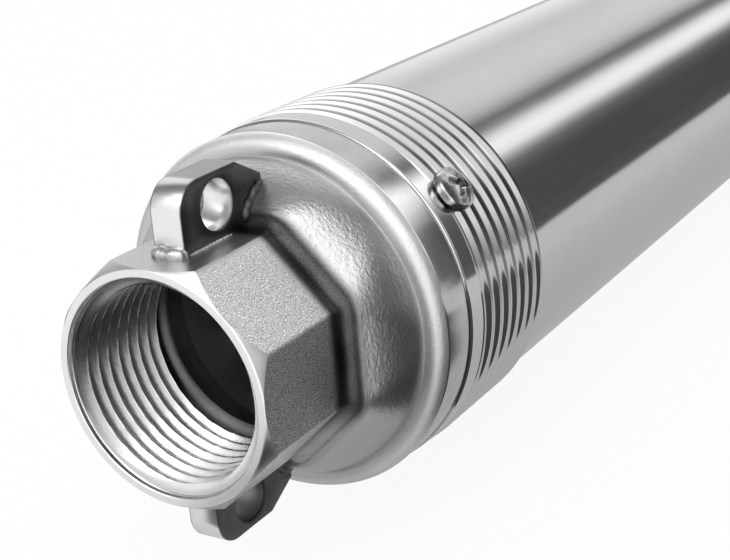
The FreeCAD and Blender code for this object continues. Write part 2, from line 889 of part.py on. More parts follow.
def cable_guard():
    """Channel that covers the cable, with a saddle for screws at both ends."""
    x0, x1 = guard_span()
    half = guard_width / 2
    channel = box(x0, x1, -half, half, -guard_depth, 0)
    inside = box(x0 - 1, x1 + 1, -half + guard_sheet, half - guard_sheet,
                 -guard_depth + guard_sheet, 1)
    channel = channel.cut(inside)
    channel = channel.cut(rod(x0 + guard_ear_length, x1 - guard_ear_length, guard_clear_r))
    channel = channel.cut(rod(x0 - 1, x1 + 1, guard_seat_r))
    saddle = tube(x0, x0 + guard_ear_length, guard_seat_r + guard_sheet, guard_seat_r)
    saddle = saddle.common(box(x0, x0 + guard_ear_length, -guard_ear_half_width,
                               guard_ear_half_width, -guard_depth, 0))
    far = shifted(saddle, x1 - x0 - guard_ear_length)
    body = joined([channel, saddle, far])
    hole = Part.makeCylinder(guard_screw_r + seat_gap, guard_depth)
    for x, angle in guard_screw_places():
        body = body.cut(screw_place(hole, x, angle))
    return body


def guard_screws():
    """Low screws of the cable guard, one solid each."""
    screw = pan_screw(guard_seat_r + guard_sheet, guard_screw_head_r, guard_screw_head_height,
                      guard_screw_head_height / 2, guard_screw_r, guard_screw_depth)
    return Part.makeCompound([screw_place(screw, x, a) for x, a in guard_screw_places()])


def guard_screw_holes():
    """Holes under the guard screws."""
    depth = guard_screw_depth + stud_gap
    hole = Part.makeCylinder(guard_screw_r + seat_gap, depth)
    hole = shifted(hole, 0, 0, guard_seat_r + guard_sheet - depth)
    return [screw_place(hole, x, a) for x, a in guard_screw_places()]


def gland_bore(depth, radius):
    """Bar along X at the cable inlet, from the motor's end face inwards."""
    return Part.makeCylinder(radius, depth, FreeCAD.Vector(motor_x, 0, -gland_radius), ALONG)


def hub_bore_r():
    """Seat of the journal bushes in the motor's end bells."""
    return motor_journal_r + journal_gap + motor_bush_wall


def upper_end_bell():
    """Motor top: pilot, stud threads, cable inlet, seal bore and upper journal."""
    hub_end = motor_tube_x + bell_spigot
    pilot = flange_bore_r - pilot_gap
    seal_x = motor_x + seal_seat_length
    bush_x = hub_end - motor_bush_length
    body = turned((motor_x - pilot_height, seal_seat_r + seat_gap),
                  (motor_x - pilot_height, pilot), (motor_x, pilot), (motor_x, tube_r),
                  (motor_tube_x, tube_r), (motor_tube_x, bell_spigot_r),
                  (motor_tube_x + bell_spigot / 2, bell_spigot_r),
                  (motor_tube_x + bell_spigot / 2, can_bore_r - seat_gap),
                  (hub_end, can_bore_r - seat_gap), (hub_end, hub_bore_r()),
                  (bush_x, hub_bore_r()), (bush_x, motor_journal_r + hub_gap),
                  (seal_x - pilot_height, motor_journal_r + hub_gap),
                  (seal_x - pilot_height, seal_seat_r + seat_gap))
    body = body.cut(gland_bore(gland_depth, gland_r + seat_gap))
    hole = stud_hole(motor_x - 1, motor_x + stud_depth + stud_end_gap, stud_r + seat_gap)
    body = body.cut(around(hole, column_count, column_angle))
    return body.cut(guard_screw_holes())


def cable_gland():
    """Cable inlet: shank and hexagon nut with the hole for the cable."""
    shank = gland_bore(gland_depth, gland_r)
    nut = prism(motor_x - gland_nut_length, motor_x, gland_nut_flats, 6)
    body = joined([shank, shifted(nut, 0, 0, -gland_radius)])
    hole = gland_bore(gland_hole_depth, gland_hole_r)
    return body.cut(shifted(hole, -gland_nut_length))


def shaft_seal():
    """Stationary lip seal round the motor shaft."""
    x0 = motor_x - pilot_height
    return tube(x0, x0 + seal_seat_length, seal_seat_r, motor_journal_r + journal_gap)


def sand_slinger():
    """Skirted rubber disc on the shaft that keeps sand off the seal."""
    x1 = motor_x - pilot_height - hub_gap
    x0 = x1 - slinger_length
    return turned((x0 - slinger_length, motor_journal_r + seat_gap),
                  (x0 - slinger_length, hub_r + 2), (x0, slinger_r),
                  (x1, slinger_r), (x1, motor_journal_r + seat_gap))


def motor_tube():
    """Outer tube of the motor."""
    return tube(motor_tube_x, motor_tube_end_x, tube_r, motor_bore_r)


def slot_bars(width_gap):
    """Bars that fill the winding slots."""
    half = slot_width / 2 + width_gap
    bar = box(motor_tube_x + core_start, motor_tube_x + core_start + core_length,
              slot_inner_r - width_gap, slot_outer_r + width_gap, -half, half)
    return around(bar, core_slots)


def stator_core():
    """Slotted iron ring of the stator."""
    x0 = motor_tube_x + core_start
    ring = tube(x0, x0 + core_length, bell_spigot_r, can_outer_r + seat_gap)
    return ring.cut(slot_bars(slot_gap))


def stator_winding():
    """Winding: bars through the slots and a coil head at both ends."""
    x0 = motor_tube_x + core_start
    x1 = x0 + core_length
    bulge = coil_length * coil_bulge_ratio
    heads = [
        turned((x0, coil_inner_r), (x0, coil_outer_r), (x0 - coil_length + bulge, coil_outer_r),
               (x0 - coil_length, coil_outer_r - bulge / 2),
               (x0 - coil_length, coil_inner_r)),
        turned((x1, coil_inner_r), (x1, coil_outer_r), (x1 + coil_length - bulge, coil_outer_r),
               (x1 + coil_length, coil_outer_r - bulge / 2),
               (x1 + coil_length, coil_inner_r)),
    ]
    return joined(heads + slot_bars(0.0))


def stator_can():
    """Thin liner between stator and rotor, carried by both end bells."""
    return tube(motor_tube_x + bell_spigot / 2 + seat_gap,
                motor_tube_end_x - bell_spigot / 2 - seat_gap,
                can_outer_r, can_bore_r)


def rotor_core():
    """Rotor pack with its cage end rings."""
    x0 = motor_tube_x + core_start - rotor_overlap
    x1 = motor_tube_x + core_start + core_length + rotor_overlap
    return turned((x0 - end_ring_length, rotor_shaft_r + seat_gap),
                  (x0 - end_ring_length, end_ring_r), (x0, end_ring_r), (x0, rotor_r),
                  (x1, rotor_r), (x1, end_ring_r), (x1 + end_ring_length, end_ring_r),
                  (x1 + end_ring_length, rotor_shaft_r + seat_gap))


def thrust_x():
    """Upper face of the thrust disc."""
    return motor_tube_end_x + hub_gap


def motor_shaft():
    """Motor shaft from the coupling down to the thrust disc."""
    x_spline = coupling_x() + (coupling_length + coupling_web) / 2
    x_journal = coupling_x() + coupling_length + hub_gap
    x_core = motor_tube_x + core_start - rotor_overlap - end_ring_length
    x_core_end = x_core + core_length + 2 * (rotor_overlap + end_ring_length)
    x_end = thrust_x() + thrust_disc_length
    return turned((x_spline, 0), (x_spline, spline_r), (x_journal, spline_r),
                  (x_journal, motor_journal_r), (x_core, motor_journal_r),
                  (x_core, rotor_shaft_r), (x_core_end, rotor_shaft_r),
                  (x_core_end, motor_journal_r), (thrust_x(), motor_journal_r),
                  (thrust_x(), spline_r), (x_end, spline_r), (x_end, 0))


def journal_bush(x0):
    """Plain journal bush of the motor."""
    return tube(x0, x0 + motor_bush_length, hub_bore_r() - seat_gap,
                motor_journal_r + journal_gap)


def thrust_disc():
    """Hard disc on the shaft end that turns on the thrust pads."""
    return tube(thrust_x(), thrust_x() + thrust_disc_length, thrust_disc_r,
                spline_r + key_gap)


def thrust_pads():
    """Ring of tilting pads, one solid each."""
    x0 = thrust_x() + thrust_disc_length
    pad = turned_sector(x0, x0 + pad_length, pad_outer_r, pad_inner_r, pad_span)
    return Part.makeCompound(around(pad, pad_count))


def pad_carrier():
    """Ring that carries the pads on the floor of the lower end bell."""
    x0 = thrust_x() + thrust_disc_length + pad_length
    floor = lower_end_x - lower_floor
    return tube(x0, floor, thrust_bore_r - seat_gap, pad_inner_r)


def lower_end_bell():
    """Motor bottom: lower journal, thrust bearing bore and diaphragm seat."""
    x0 = motor_tube_end_x
    floor = lower_end_x - lower_floor
    bush_x = x0 - motor_bush_length
    body = turned((bush_x, hub_bore_r()), (bush_x, can_bore_r - seat_gap),
                  (x0 - bell_spigot / 2, can_bore_r - seat_gap),
                  (x0 - bell_spigot / 2, bell_spigot_r), (x0, bell_spigot_r), (x0, tube_r),
                  (lower_end_x, tube_r), (lower_end_x, breather_r),
                  (floor, breather_r), (floor, thrust_bore_r), (x0, thrust_bore_r),
                  (x0, hub_bore_r()))
    for bar in cover_screw_bars(cover_screw_r + seat_gap, lower_end_x - cover_screw_depth):
        body = body.cut(bar)
    plug = Part.makeCylinder(fill_plug_r + seat_gap, fill_plug_length,
                             FreeCAD.Vector(lower_end_x - fill_plug_length, 0,
                                            fill_plug_circle_r), ALONG)
    return body.cut(plug)


def cover_screw_bars(radius, x0):
    """Bars on the cover's screw circle, from x0 to past the cover."""
    length = lower_end_x + cover_dome + 1 - x0
    bar = Part.makeCylinder(radius, length, FreeCAD.Vector(x0, cover_screw_circle_r, 0), ALONG)
    return around(bar, cover_screws, column_angle)


def diaphragm():
    """Rubber diaphragm that lets the motor's filling expand."""
    x0 = lower_end_x
    x1 = x0 + diaphragm_wall
    disc = x0 + diaphragm_depth
    rim = cover_seat_r() - seat_gap
    return turned((x0, diaphragm_fold_r), (x0, rim), (x1, rim), (x1, diaphragm_fold_r),
                  (disc + diaphragm_wall, diaphragm_disc_r), (disc + diaphragm_wall, 0),
                  (disc, 0), (disc, diaphragm_disc_r))


def cover_seat_r():
    """Recess of the cover that takes the diaphragm's rim."""
    return cover_screw_circle_r - cover_screw_head_r


def diaphragm_cover():
    """Dished cover over the diaphragm, with vents."""
    x0 = lower_end_x
    seat = x0 + diaphragm_wall
    rim = cover_seat_r()
    flat = seat + cover_wall
    top = x0 + cover_dome
    inner_r = diaphragm_fold_r + cover_wall
    outer_r = tube_r - cover_edge
    body = turned((x0, rim), (x0, outer_r), (flat - cover_edge, outer_r),
                  (flat, outer_r - cover_edge), (flat, inner_r + cover_wall),
                  (top, inner_r - cover_slope), (top, 0), (top - cover_wall, 0),
                  (top - cover_wall, inner_r - cover_wall - cover_slope), (seat, inner_r),
                  (seat, rim))
    for bar in cover_screw_bars(cover_screw_r + seat_gap, x0 - 1):
        body = body.cut(bar)
    vent = Part.makeCylinder(cover_vent_r, 2 * cover_dome,
                             FreeCAD.Vector(x0 + diaphragm_wall, cover_vent_circle_r, 0), ALONG)
    return body.cut(around(vent, cover_vents))


def cover_screw_set():
    """Screws of the diaphragm cover, one solid each."""
    seat = lower_end_x + diaphragm_wall + cover_wall
    bar = Part.makeCylinder(cover_screw_r, seat - lower_end_x + cover_screw_depth,
                            FreeCAD.Vector(lower_end_x - cover_screw_depth,
                                           cover_screw_circle_r, 0), ALONG)
    head = Part.makeCylinder(cover_screw_head_r, cover_screw_head,
                             FreeCAD.Vector(seat, cover_screw_circle_r, 0), ALONG)
    return Part.makeCompound(around(joined([bar, head]), cover_screws, column_angle))


def fill_plug():
    """Filling plug of the motor, under the diaphragm."""
    return Part.makeCylinder(fill_plug_r, fill_plug_length,
                             FreeCAD.Vector(lower_end_x - fill_plug_length, 0,
                                            fill_plug_circle_r), ALONG)


def all_parts():
    """Every sub-part by its name."""
    head = discharge_head()
    eye = rope_eye(head_outside())
    lower_eye = spun(eye, 180)
    places = lock_places()
    parts = {
        "discharge_head": head,
        "rope_eye_upper": eye,
        "rope_eye_lower": lower_eye,
        "pump_sleeve": pump_sleeve(),
        "lock_screw_upper": screw_place(lock_screw(), *places[0]),
        "lock_screw_lower": screw_place(lock_screw(), *places[1]),
        "valve_cage": check_valve_cage(),
        "valve_seat": valve_seat(),
        "valve_poppet": valve_poppet(),
        "valve_seal": valve_seal(),
        "valve_spring": valve_spring(),
        "upper_bearing_housing": upper_bearing_housing(),
        "upper_bearing_bush": bearing_bush(housing_x + bearing_setback, bearing_length),
        "journal_sleeve": journal_sleeve(),
        "impeller_nut": sleeve_nut(),
        "pump_shaft": pump_shaft(),
        "suction_casing": suction_casing(),
        "lower_bearing_bush": bearing_bush(stack_end_x + spider_x, spider_bearing_length),
        "strainer": strainer(),
        "coupling": coupling(),
        "motor_studs": motor_studs(),
        "motor_nuts": motor_nuts(),
        "cable_guard": cable_guard(),
        "guard_screws": guard_screws(),
        "upper_end_bell": upper_end_bell(),
        "cable_gland": cable_gland(),
        "shaft_seal": shaft_seal(),
        "sand_slinger": sand_slinger(),
        "motor_tube": motor_tube(),
        "stator_core": stator_core(),
        "stator_winding": stator_winding(),
        "stator_can": stator_can(),
        "rotor_core": rotor_core(),
        "motor_shaft": motor_shaft(),
        "upper_journal_bush": journal_bush(motor_tube_x + bell_spigot - motor_bush_length),
        "lower_journal_bush": journal_bush(motor_tube_end_x - motor_bush_length),
        "thrust_disc": thrust_disc(),
        "thrust_pads": thrust_pads(),
        "pad_carrier": pad_carrier(),
        "lower_end_bell": lower_end_bell(),
        "diaphragm": diaphragm(),
        "diaphragm_cover": diaphragm_cover(),
        "cover_screws": cover_screw_set(),
        "fill_plug": fill_plug(),
    }
    wheel = impeller()
    bowl = diffuser()
    for k in range(stage_count):
        x = stack_end_x - k * stage_pitch
        parts[f"impeller_{k + 1}"] = shifted(wheel, x)
        parts[f"diffuser_{k + 1}"] = shifted(bowl, x)
    return parts


os.makedirs("parts", exist_ok=True)
for name, shape in all_parts().items():
    shape.exportStep(f"parts/{name}.step")
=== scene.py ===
import cmath
import json
import math

import bmesh
import bpy
import numpy as np
from mathutils import Matrix, Vector


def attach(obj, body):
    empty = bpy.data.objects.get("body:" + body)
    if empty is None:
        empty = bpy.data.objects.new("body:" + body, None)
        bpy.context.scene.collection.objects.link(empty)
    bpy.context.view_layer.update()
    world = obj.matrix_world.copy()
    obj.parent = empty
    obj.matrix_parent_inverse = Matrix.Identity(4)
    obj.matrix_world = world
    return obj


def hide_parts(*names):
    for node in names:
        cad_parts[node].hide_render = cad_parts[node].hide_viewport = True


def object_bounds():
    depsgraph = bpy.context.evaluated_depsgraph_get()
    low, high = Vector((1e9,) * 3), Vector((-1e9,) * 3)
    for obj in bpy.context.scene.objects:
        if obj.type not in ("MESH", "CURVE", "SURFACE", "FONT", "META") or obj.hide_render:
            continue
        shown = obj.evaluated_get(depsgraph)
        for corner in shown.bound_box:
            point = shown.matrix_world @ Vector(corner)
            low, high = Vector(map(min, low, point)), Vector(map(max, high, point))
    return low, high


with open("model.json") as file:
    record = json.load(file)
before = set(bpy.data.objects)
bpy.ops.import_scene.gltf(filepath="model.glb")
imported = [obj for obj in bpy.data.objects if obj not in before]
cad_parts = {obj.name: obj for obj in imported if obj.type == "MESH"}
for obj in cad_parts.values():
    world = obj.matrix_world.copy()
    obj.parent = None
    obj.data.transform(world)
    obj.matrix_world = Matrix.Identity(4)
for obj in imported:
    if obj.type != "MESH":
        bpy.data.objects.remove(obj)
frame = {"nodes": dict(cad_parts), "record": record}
cad_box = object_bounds()
MM = 0.001
TURN = 2 * math.pi
TINY = 1e-9

# Sizes in millimetres, as in the solids
SOCKET_HALF = 18.25
SOCKET_EDGE = 0.8
SOCKET_LENGTH = 18.5
CHAMFER_R = 18.2
CHAMFER_LENGTH = 2.1
CORNER_R = SOCKET_HALF / math.cos(math.pi / 8)
MOUTH_R = 17.0
THREAD_PITCH = 2.309
THREAD_MINOR_R = 15.15
THREAD_DEPTH = 1.45
THREAD_START = 0.9
THREAD_END = 19.3
THREAD_CONE_R = 16.75
THREAD_CONE_SLOPE = 2.2
THREAD_STEPS = 26
RELIEF_R = 16.9
LIP_X = 22.3
LIP_R = 15.6
CHAMBER_X = 24.1
CHAMBER_R = 19.0
FILLET = 2.5
RIM_R = SOCKET_HALF + FILLET
RIM_CORNER = 5.0
DOME_X = SOCKET_LENGTH + FILLET
DOME_BULGE = 0.4
DOME_ROUND = 0.97
DOME_START = 0.05
BEAD_FRONT_X = 29.75
BEAD_FOOT_R = 26.4
BEAD_END_X = 31.4
BEAD_BULGE = 0.55
COLLAR_R = 29.67
COLLAR_END_X = 38.26
SPIGOT_R = 28.25
CAGE_BORE_R = 23.5
CAGE_X = 40.0
SEAT_X = 66.0
EYE_HALF = 2.8
EYE_EDGE = 0.28
EYE_X, EYE_Z, EYE_R = 14.4, 23.6, 3.75
EYE_NOSE_R = 4.4
EYE_FRONT_X = 6.1
EYE_TOP = 28.55
EYE_TOP_BACK_X = 19.6
EYE_BACK_X, EYE_BACK_TOP = 25.6, 25.25
EYE_FOOT = 17.4
TUBE_R = 29.55
BAND_R = 30.0
BAND_LENGTH = 4.1
BORE_R = 28.3
RIDGES = 7
RIDGE_PITCH = 3.03
CREST_R = 30.34
ROOT_R = 30.03
RIDGE_PHASE = 0.709
# Phase of the painted shade on the back flanks of the rolled thread
RIDGE_SHADE_PHASE = RIDGE_PHASE + 0.67
SLEEVE_END_X = 249.74
WINDOW_X = 256.6
FLANGE_X = 292.6
MOTOR_X = 300.6
MOTOR_TUBE_X = 314.6
MOTOR_TUBE_END_X = 520.6
LOWER_END_X = 542.6


class Wire:
    """A node's output; arithmetic on it adds Math nodes."""

    def __init__(self, net, socket):
        self.net = net
        self.socket = socket

    def math(self, operation, *others):
        return self.net.math(operation, self, *others)

    def split(self):
        """The x, y and z of a vector."""
        parts = self.net.add("ShaderNodeSeparateXYZ", inputs={0: self}).socket.node
        return [Wire(self.net, out) for out in parts.outputs]

    def __add__(self, other):
        return self.math("ADD", other)

    def __sub__(self, other):
        return self.math("SUBTRACT", other)

    def __mul__(self, other):
        return self.math("MULTIPLY", other)

    def __truediv__(self, other):
        return self.math("DIVIDE", other)

    def __rsub__(self, other):
        return self.net.math("SUBTRACT", other, self)

    def __rtruediv__(self, other):
        return self.net.math("DIVIDE", other, self)

    __radd__ = __add__
    __rmul__ = __mul__


class Net:
    """Builds one node tree."""

    def __init__(self, tree):
        self.tree = tree

    def add(self, kind, settings=None, inputs=None, out=0):
        """Adds a node, sets it, fills its inputs and returns one output."""
        node = self.tree.nodes.new(kind)
        for key, value in (settings or {}).items():
            if key != "stops":
                setattr(node, key, value)
                continue
            ramp = node.color_ramp
            while len(ramp.elements) < len(value):
                ramp.elements.new(1.0)
            for element, (place, level) in zip(ramp.elements, value):
                element.position = place
                element.color = (level, level, level, 1)
        for key, value in (inputs or {}).items():
            self.feed(node.inputs[key], value)
        return Wire(self, node.outputs[out])

    def feed(self, socket, value):
        """Links a wire to a socket, or sets the socket's own value."""
        if isinstance(value, Wire):
            self.tree.links.new(value.socket, socket)
        else:
            socket.default_value = value

    def math(self, operation, *values):
        return self.add("ShaderNodeMath", {"operation": operation}, dict(enumerate(values)))

    def geo(self, kind, inputs=None, out=0):
        """Adds a geometry node."""
        return self.add("GeometryNode" + kind, None, inputs, out)

    def ease(self, value, low, high, start=0.0, end=1.0):
        """Smooth step of a value from low to high."""
        return self.add("ShaderNodeMapRange", {"interpolation_type": "SMOOTHSTEP"},
                        {"Value": value, "From Min": low, "From Max": high,
                         "To Min": start, "To Max": end})

    def between(self, value, low, rise, fall, high):
        """1 from rise to fall, easing to 0 at low and at high."""
        return self.ease(value, low, rise) * self.ease(value, fall, high, 1.0, 0.0)

    def vector(self, x=0.0, y=0.0, z=0.0):
        return self.add("ShaderNodeCombineXYZ", inputs={0: x, 1: y, 2: z})

    def mix(self, low, high, factor):
        """Colour between two colours."""
        return self.add("ShaderNodeMix", {"data_type": "RGBA"}, {0: factor, 6: low, 7: high}, out=2)


class Skin(Net):
    """Material with one glossy shader, and object coordinates in millimetres."""

    def __init__(self, name, metallic=0.0):
        self.material = bpy.data.materials.new(name)
        self.material.use_nodes = True
        super().__init__(self.material.node_tree)
        self.shader = self.tree.nodes["Principled BSDF"]
        self.shader.inputs["Metallic"].default_value = metallic
        self.spot = self.add("ShaderNodeVectorMath", {"operation": "SCALE"}, {
            0: self.add("ShaderNodeTexCoord", out="Object"), "Scale": 1 / MM})
        self.x, self.y, self.z = self.spot.split()

    def radius(self):
        """Distance from the pump's axis."""
        return (self.y * self.y + self.z * self.z).math("SQRT")

    def noise(self, size, detail=2.0, rough=0.5, stretch=None):
        """Noise whose grains are about size millimetres wide."""
        spot = self.spot
        if stretch:
            spot = self.add("ShaderNodeVectorMath", {"operation": "MULTIPLY"}, {0: spot, 1: stretch})
        return self.add("ShaderNodeTexNoise", {"noise_dimensions": "3D"},
                        {"Vector": spot, "Scale": 1 / size, "Detail": detail, "Roughness": rough})

    def rings(self, distance, scale):
        """Uneven tool rings along a distance."""
        return self.add("ShaderNodeTexNoise", {"noise_dimensions": "1D"},
                        {"W": distance, "Scale": scale, "Detail": 3.0, "Roughness": 0.7})

    def coat(self, low, high, factor, rough, relief, depth):
        """Colour from low to high, roughness, and a relief whose depth is in millimetres."""
        inputs = self.shader.inputs
        self.feed(inputs["Base Color"], self.mix((*low, 1), (*high, 1), factor))
        self.feed(inputs["Roughness"], rough)
        self.feed(inputs["Normal"], self.add("ShaderNodeBump", inputs={
            "Height": relief, "Distance": depth * MM, "Strength": 1.0}))

    def plain(self, grey, rough):
        """Even grey for the stage."""
        self.shader.inputs["Base Color"].default_value = (grey, grey, grey, 1)
        self.shader.inputs["Roughness"].default_value = rough


def blasted_casting(skin):
    """Cast steel: grainy on the flats, heat tinted at the rope eyes, tumbled on the dome, with painted
    shade in the fillet behind the socket and inside the bore past the thread.
    """
    x, z = skin.x, skin.z
    dome = skin.between(x, DOME_X - 1.5, DOME_X + 1.0, BEAD_FRONT_X - 1.15, BEAD_FRONT_X - 0.15)
    bead = skin.ease(x, BEAD_FRONT_X - 0.35, BEAD_FRONT_X + 0.25)
    flats = skin.ease(x, SOCKET_LENGTH, DOME_X + 1.0, 1.0, 0.0)
    tinted = flats * skin.ease(z.math("ABSOLUTE"), EYE_FOOT, SOCKET_HALF - 0.15)
    fine = skin.ease(skin.noise(0.20, 2.0, 0.6), 0.30, 0.70)
    pits = skin.ease(skin.noise(0.30), 0.58, 0.74)
    dents = skin.noise(0.55, 1.5, 0.5, (1.2, 0.7, 0.7))
    cloud = skin.noise(9.0)
    # root: painted shade in the fillet where the socket meets the dome, weaker on the underside
    root = skin.between(x, SOCKET_LENGTH - 2.1, SOCKET_LENGTH - 0.1, DOME_X - 0.3, DOME_X + 1.1) \
        * skin.ease(z, -14.0, -8.0, 0.35, 1.0)
    # inner: painted shade on the lip, relief and chamber inside the bore past the thread
    inner = skin.ease(skin.radius(), MOUTH_R + 0.2, CHAMBER_R + 0.6, 1.0, 0.0) \
        * skin.ease(x, THREAD_END - 1.3, THREAD_END + 0.1)
    grainy = flats * (1 - tinted * 0.8) * (1 - root)
    tint = 0.53 + (fine - 0.5) * (0.06 + grainy * 0.50) - pits * grainy * 0.24 \
        + grainy * 0.25 + dome * 0.05 + bead * 0.34 - tinted * 0.04 - root * 0.47 \
        - inner * 0.15 + (cloud - 0.5) * 0.14
    relief = fine * (0.008 + grainy * 0.020 + bead * 0.012) \
        + dents * (0.02 + dome * 0.035 + bead * 0.03) - pits * grainy * 0.03
    skin.coat((0.03, 0.03, 0.029), (0.88, 0.875, 0.865), tint,
              0.30 + root * 0.1 - grainy * 0.05 + bead * 0.16 + (cloud - 0.5) * 0.1, relief, 1.0)


def turned_face(skin):
    """Machined steel with fine tool rings about the pump's axis, and painted shade on the chamfer round
    the face, strongest below its top part.
    """
    radius = skin.radius()
    rings = skin.rings(radius + skin.x * 0.9, 9.0)
    cloud = skin.noise(4.0)
    chamfer = skin.ease(radius, CHAMFER_R, CHAMFER_R + 0.2) \
        * skin.ease(skin.x, CHAMFER_LENGTH + 0.4, CHAMFER_LENGTH + 1.4, 1.0, 0.0)
    # low: painted shade on the lower part of the chamfer
    low = skin.ease(skin.z, 15.0, 9.0)
    skin.coat((0.20, 0.20, 0.197), (0.88, 0.88, 0.875),
              0.76 + rings * 0.2 + cloud * 0.2 - chamfer * (0.05 + low * 0.65),
              0.24 + cloud * 0.12, rings, 0.010)


def cut_thread(skin):
    """Tapped thread with torn specks; painted shade keeps the crests bright and darkens the roots and
    the upper side of the bore.
    """
    # root: painted shade in the thread's roots
    root = skin.ease(skin.radius(), THREAD_MINOR_R + 0.45, THREAD_MINOR_R + 1.35)
    # shaded: painted shade on the bore's upper side, towards +Y and +Z
    shaded = skin.ease(skin.y * 0.7 + skin.z * 0.7, -4.0, 10.0)
    speck = skin.noise(0.5, 3.0, 0.6, (1.0, 0.35, 0.35))
    scratch = skin.noise(0.16, 2.0, 0.6, (1.0, 0.12, 0.12))
    skin.coat((0.82, 0.82, 0.815), (0.12, 0.12, 0.118), root * 0.28 + speck * 0.14 + shaded * 0.62,
              0.12 + speck * 0.14 + root * 0.1 + shaded * 0.06, speck + scratch * 0.4, 0.02)


def polished_tube(skin):
    """Polished sheet steel with faint smears, fine lines and painted shade on the back flanks of the
    rolled thread, on its upper side.
    """
    lines = skin.noise(0.35, 2.0, 0.6, (1.0, 0.02, 0.02))
    smear = skin.noise(16.0, 3.0, 0.55, (0.35, 1.0, 1.0))
    wave = skin.noise(8.0, 1.0, 0.5, (0.3, 1.0, 1.0))
    middle = (COLLAR_END_X + SLEEVE_END_X) / 2
    outer = SLEEVE_END_X - middle - BAND_LENGTH
    inner = outer - RIDGES * RIDGE_PITCH
    reach = (skin.x - middle).math("ABSOLUTE")
    rolled = skin.between(reach, inner - 0.83, inner + 0.17, outer - 0.64, outer + 0.16)
    turn = (outer - reach) / RIDGE_PITCH
    round_ = skin.math("ARCTAN2", skin.z, skin.y) / TURN
    past = turn - RIDGE_SHADE_PHASE + round_ * (skin.x - middle).math("SIGN")
    # Painted shade on the back flanks of the rolled thread, above the axis
    ridge_shade = rolled * skin.ease((past * TURN).math("COSINE"), -0.4, 0.6) \
        * skin.ease(skin.z, -3.0, 5.0)
    skin.coat((0.10, 0.101, 0.10), (0.72, 0.725, 0.72), 0.86 + smear * 0.14 - ridge_shade * 0.85,
              0.05 + smear * 0.08 + lines * 0.02 + rolled * 0.02, lines * 0.05 + wave, 0.03)


def satin_collar(skin):
    """Turned collar of the casting, nearly polished."""
    lines = skin.noise(0.30, 2.0, 0.6, (1.0, 0.02, 0.02))
    cloud = skin.noise(6.0, 3.0, 0.6)
    skin.coat((0.48, 0.48, 0.475), (0.78, 0.78, 0.775), cloud,
              0.08 + cloud * 0.14, lines * 0.3 + cloud, 0.014)


def cut_plate(skin):
    """Thick steel plate with dark sides and finely scored bright edges, with painted shade in the lower
    eye's hole and on the upper plate's top edge.
    """
    side = skin.ease(skin.y.math("ABSOLUTE"), EYE_HALF - 0.45, EYE_HALF - 0.05)
    # dx and dz place the lower eye's hole, which gets painted shade
    dx, dz = skin.x - EYE_X, skin.z + EYE_Z
    lower_eye_shade = skin.ease((dx * dx + dz * dz).math("SQRT"), EYE_R, EYE_R + 0.4, 1.0, 0.0)
    # crown: painted shade on the top edge of the upper plate
    crown = skin.ease(skin.z, EYE_TOP - 2.2, EYE_TOP - 0.3) * (1 - side)
    score = skin.noise(0.5, 2.0, 0.6, (0.6, 0.04, 0.6))
    cloud = skin.noise(3.0)
    skin.coat((0.90, 0.90, 0.895), (0.08, 0.08, 0.079),
              side * 0.93 + lower_eye_shade * 0.7 + crown * 0.48 + cloud * 0.1,
              0.20 + side * 0.04 + lower_eye_shade * 0.2 + cloud * 0.1, score * (1 - side), 0.012)


def weld_metal(skin):
    """Bright, slightly tarnished weld, darkened by painted shade on the dome, behind the rope eye."""
    cloud = skin.noise(0.9, 3.0, 0.6)
    # Painted shade on the welds along the dome, in the corner behind the rope eye
    dome_weld_shade = skin.ease(skin.x, SOCKET_LENGTH - 0.5, SOCKET_LENGTH + 1.5)
    skin.coat((0.08, 0.079, 0.077), (0.80, 0.795, 0.78),
              cloud * (1 - dome_weld_shade * 0.7) + 0.15 - dome_weld_shade * 0.25,
              0.24 + cloud * 0.2 + dome_weld_shade * 0.2, cloud, 0.10)


def bright_fastener(skin):
    """Pickled stainless steel."""
    cloud = skin.noise(1.8)
    skin.coat((0.30, 0.30, 0.296), (0.66, 0.66, 0.655), skin.ease(cloud, 0.35, 0.65),
              0.10 + cloud * 0.12, cloud, 0.06)


def rolled_sheet(skin):
    """Cold rolled sheet with lines along the pump."""
    lines = skin.noise(0.5, 2.0, 0.6, (0.03, 1.0, 1.0))
    cloud = skin.noise(10.0)
    skin.coat((0.56, 0.56, 0.555), (0.70, 0.70, 0.695), lines * 0.4 + cloud * 0.6,
              0.20 + cloud * 0.12, lines, 0.012)


def turned_steel(skin):
    """Turned parts along the pump's axis."""
    rings = skin.rings(skin.x + skin.radius(), 4.0)
    cloud = skin.noise(7.0)
    skin.coat((0.54, 0.54, 0.535), (0.68, 0.68, 0.675), rings * 0.4 + cloud * 0.6,
              0.24 + cloud * 0.1, rings, 0.012)


def stacked_iron(skin):
    """Thin punched sheets stacked along the axis."""
    sheet = (skin.x * (TURN / 0.5)).math("SINE")
    cloud = skin.noise(5.0)
    skin.coat((0.16, 0.16, 0.17), (0.34, 0.34, 0.35), sheet * 0.2 + 0.3 + cloud * 0.4,
              0.40 + cloud * 0.15, sheet, 0.02)


def rubbery(skin):
    """Matt black rubber."""
    grain = skin.noise(0.5, 3.0)
    skin.coat((0.012, 0.012, 0.012), (0.035, 0.035, 0.035), grain,
              0.58 + grain * 0.2, grain, 0.03)


def moulded(low, high, gloss):
    """Moulded plastic with a fine skin."""
    def paint(skin):
        grain = skin.noise(0.4)
        skin.coat(low, high, skin.noise(12.0), gloss + grain * 0.12, grain, 0.012)
    return paint


def yellow_metal(low, high):
    """Brass, bronze or copper with a light tarnish."""
    def paint(skin):
        cloud = skin.noise(3.0, 3.0, 0.6)
        skin.coat(low, high, cloud, 0.24 + cloud * 0.16, cloud, 0.01)
    return paint


def finish(name, paint, metallic=1.0):
    """Material that a painting function fills."""
    skin = Skin(name, metallic)
    paint(skin)
    return skin.material


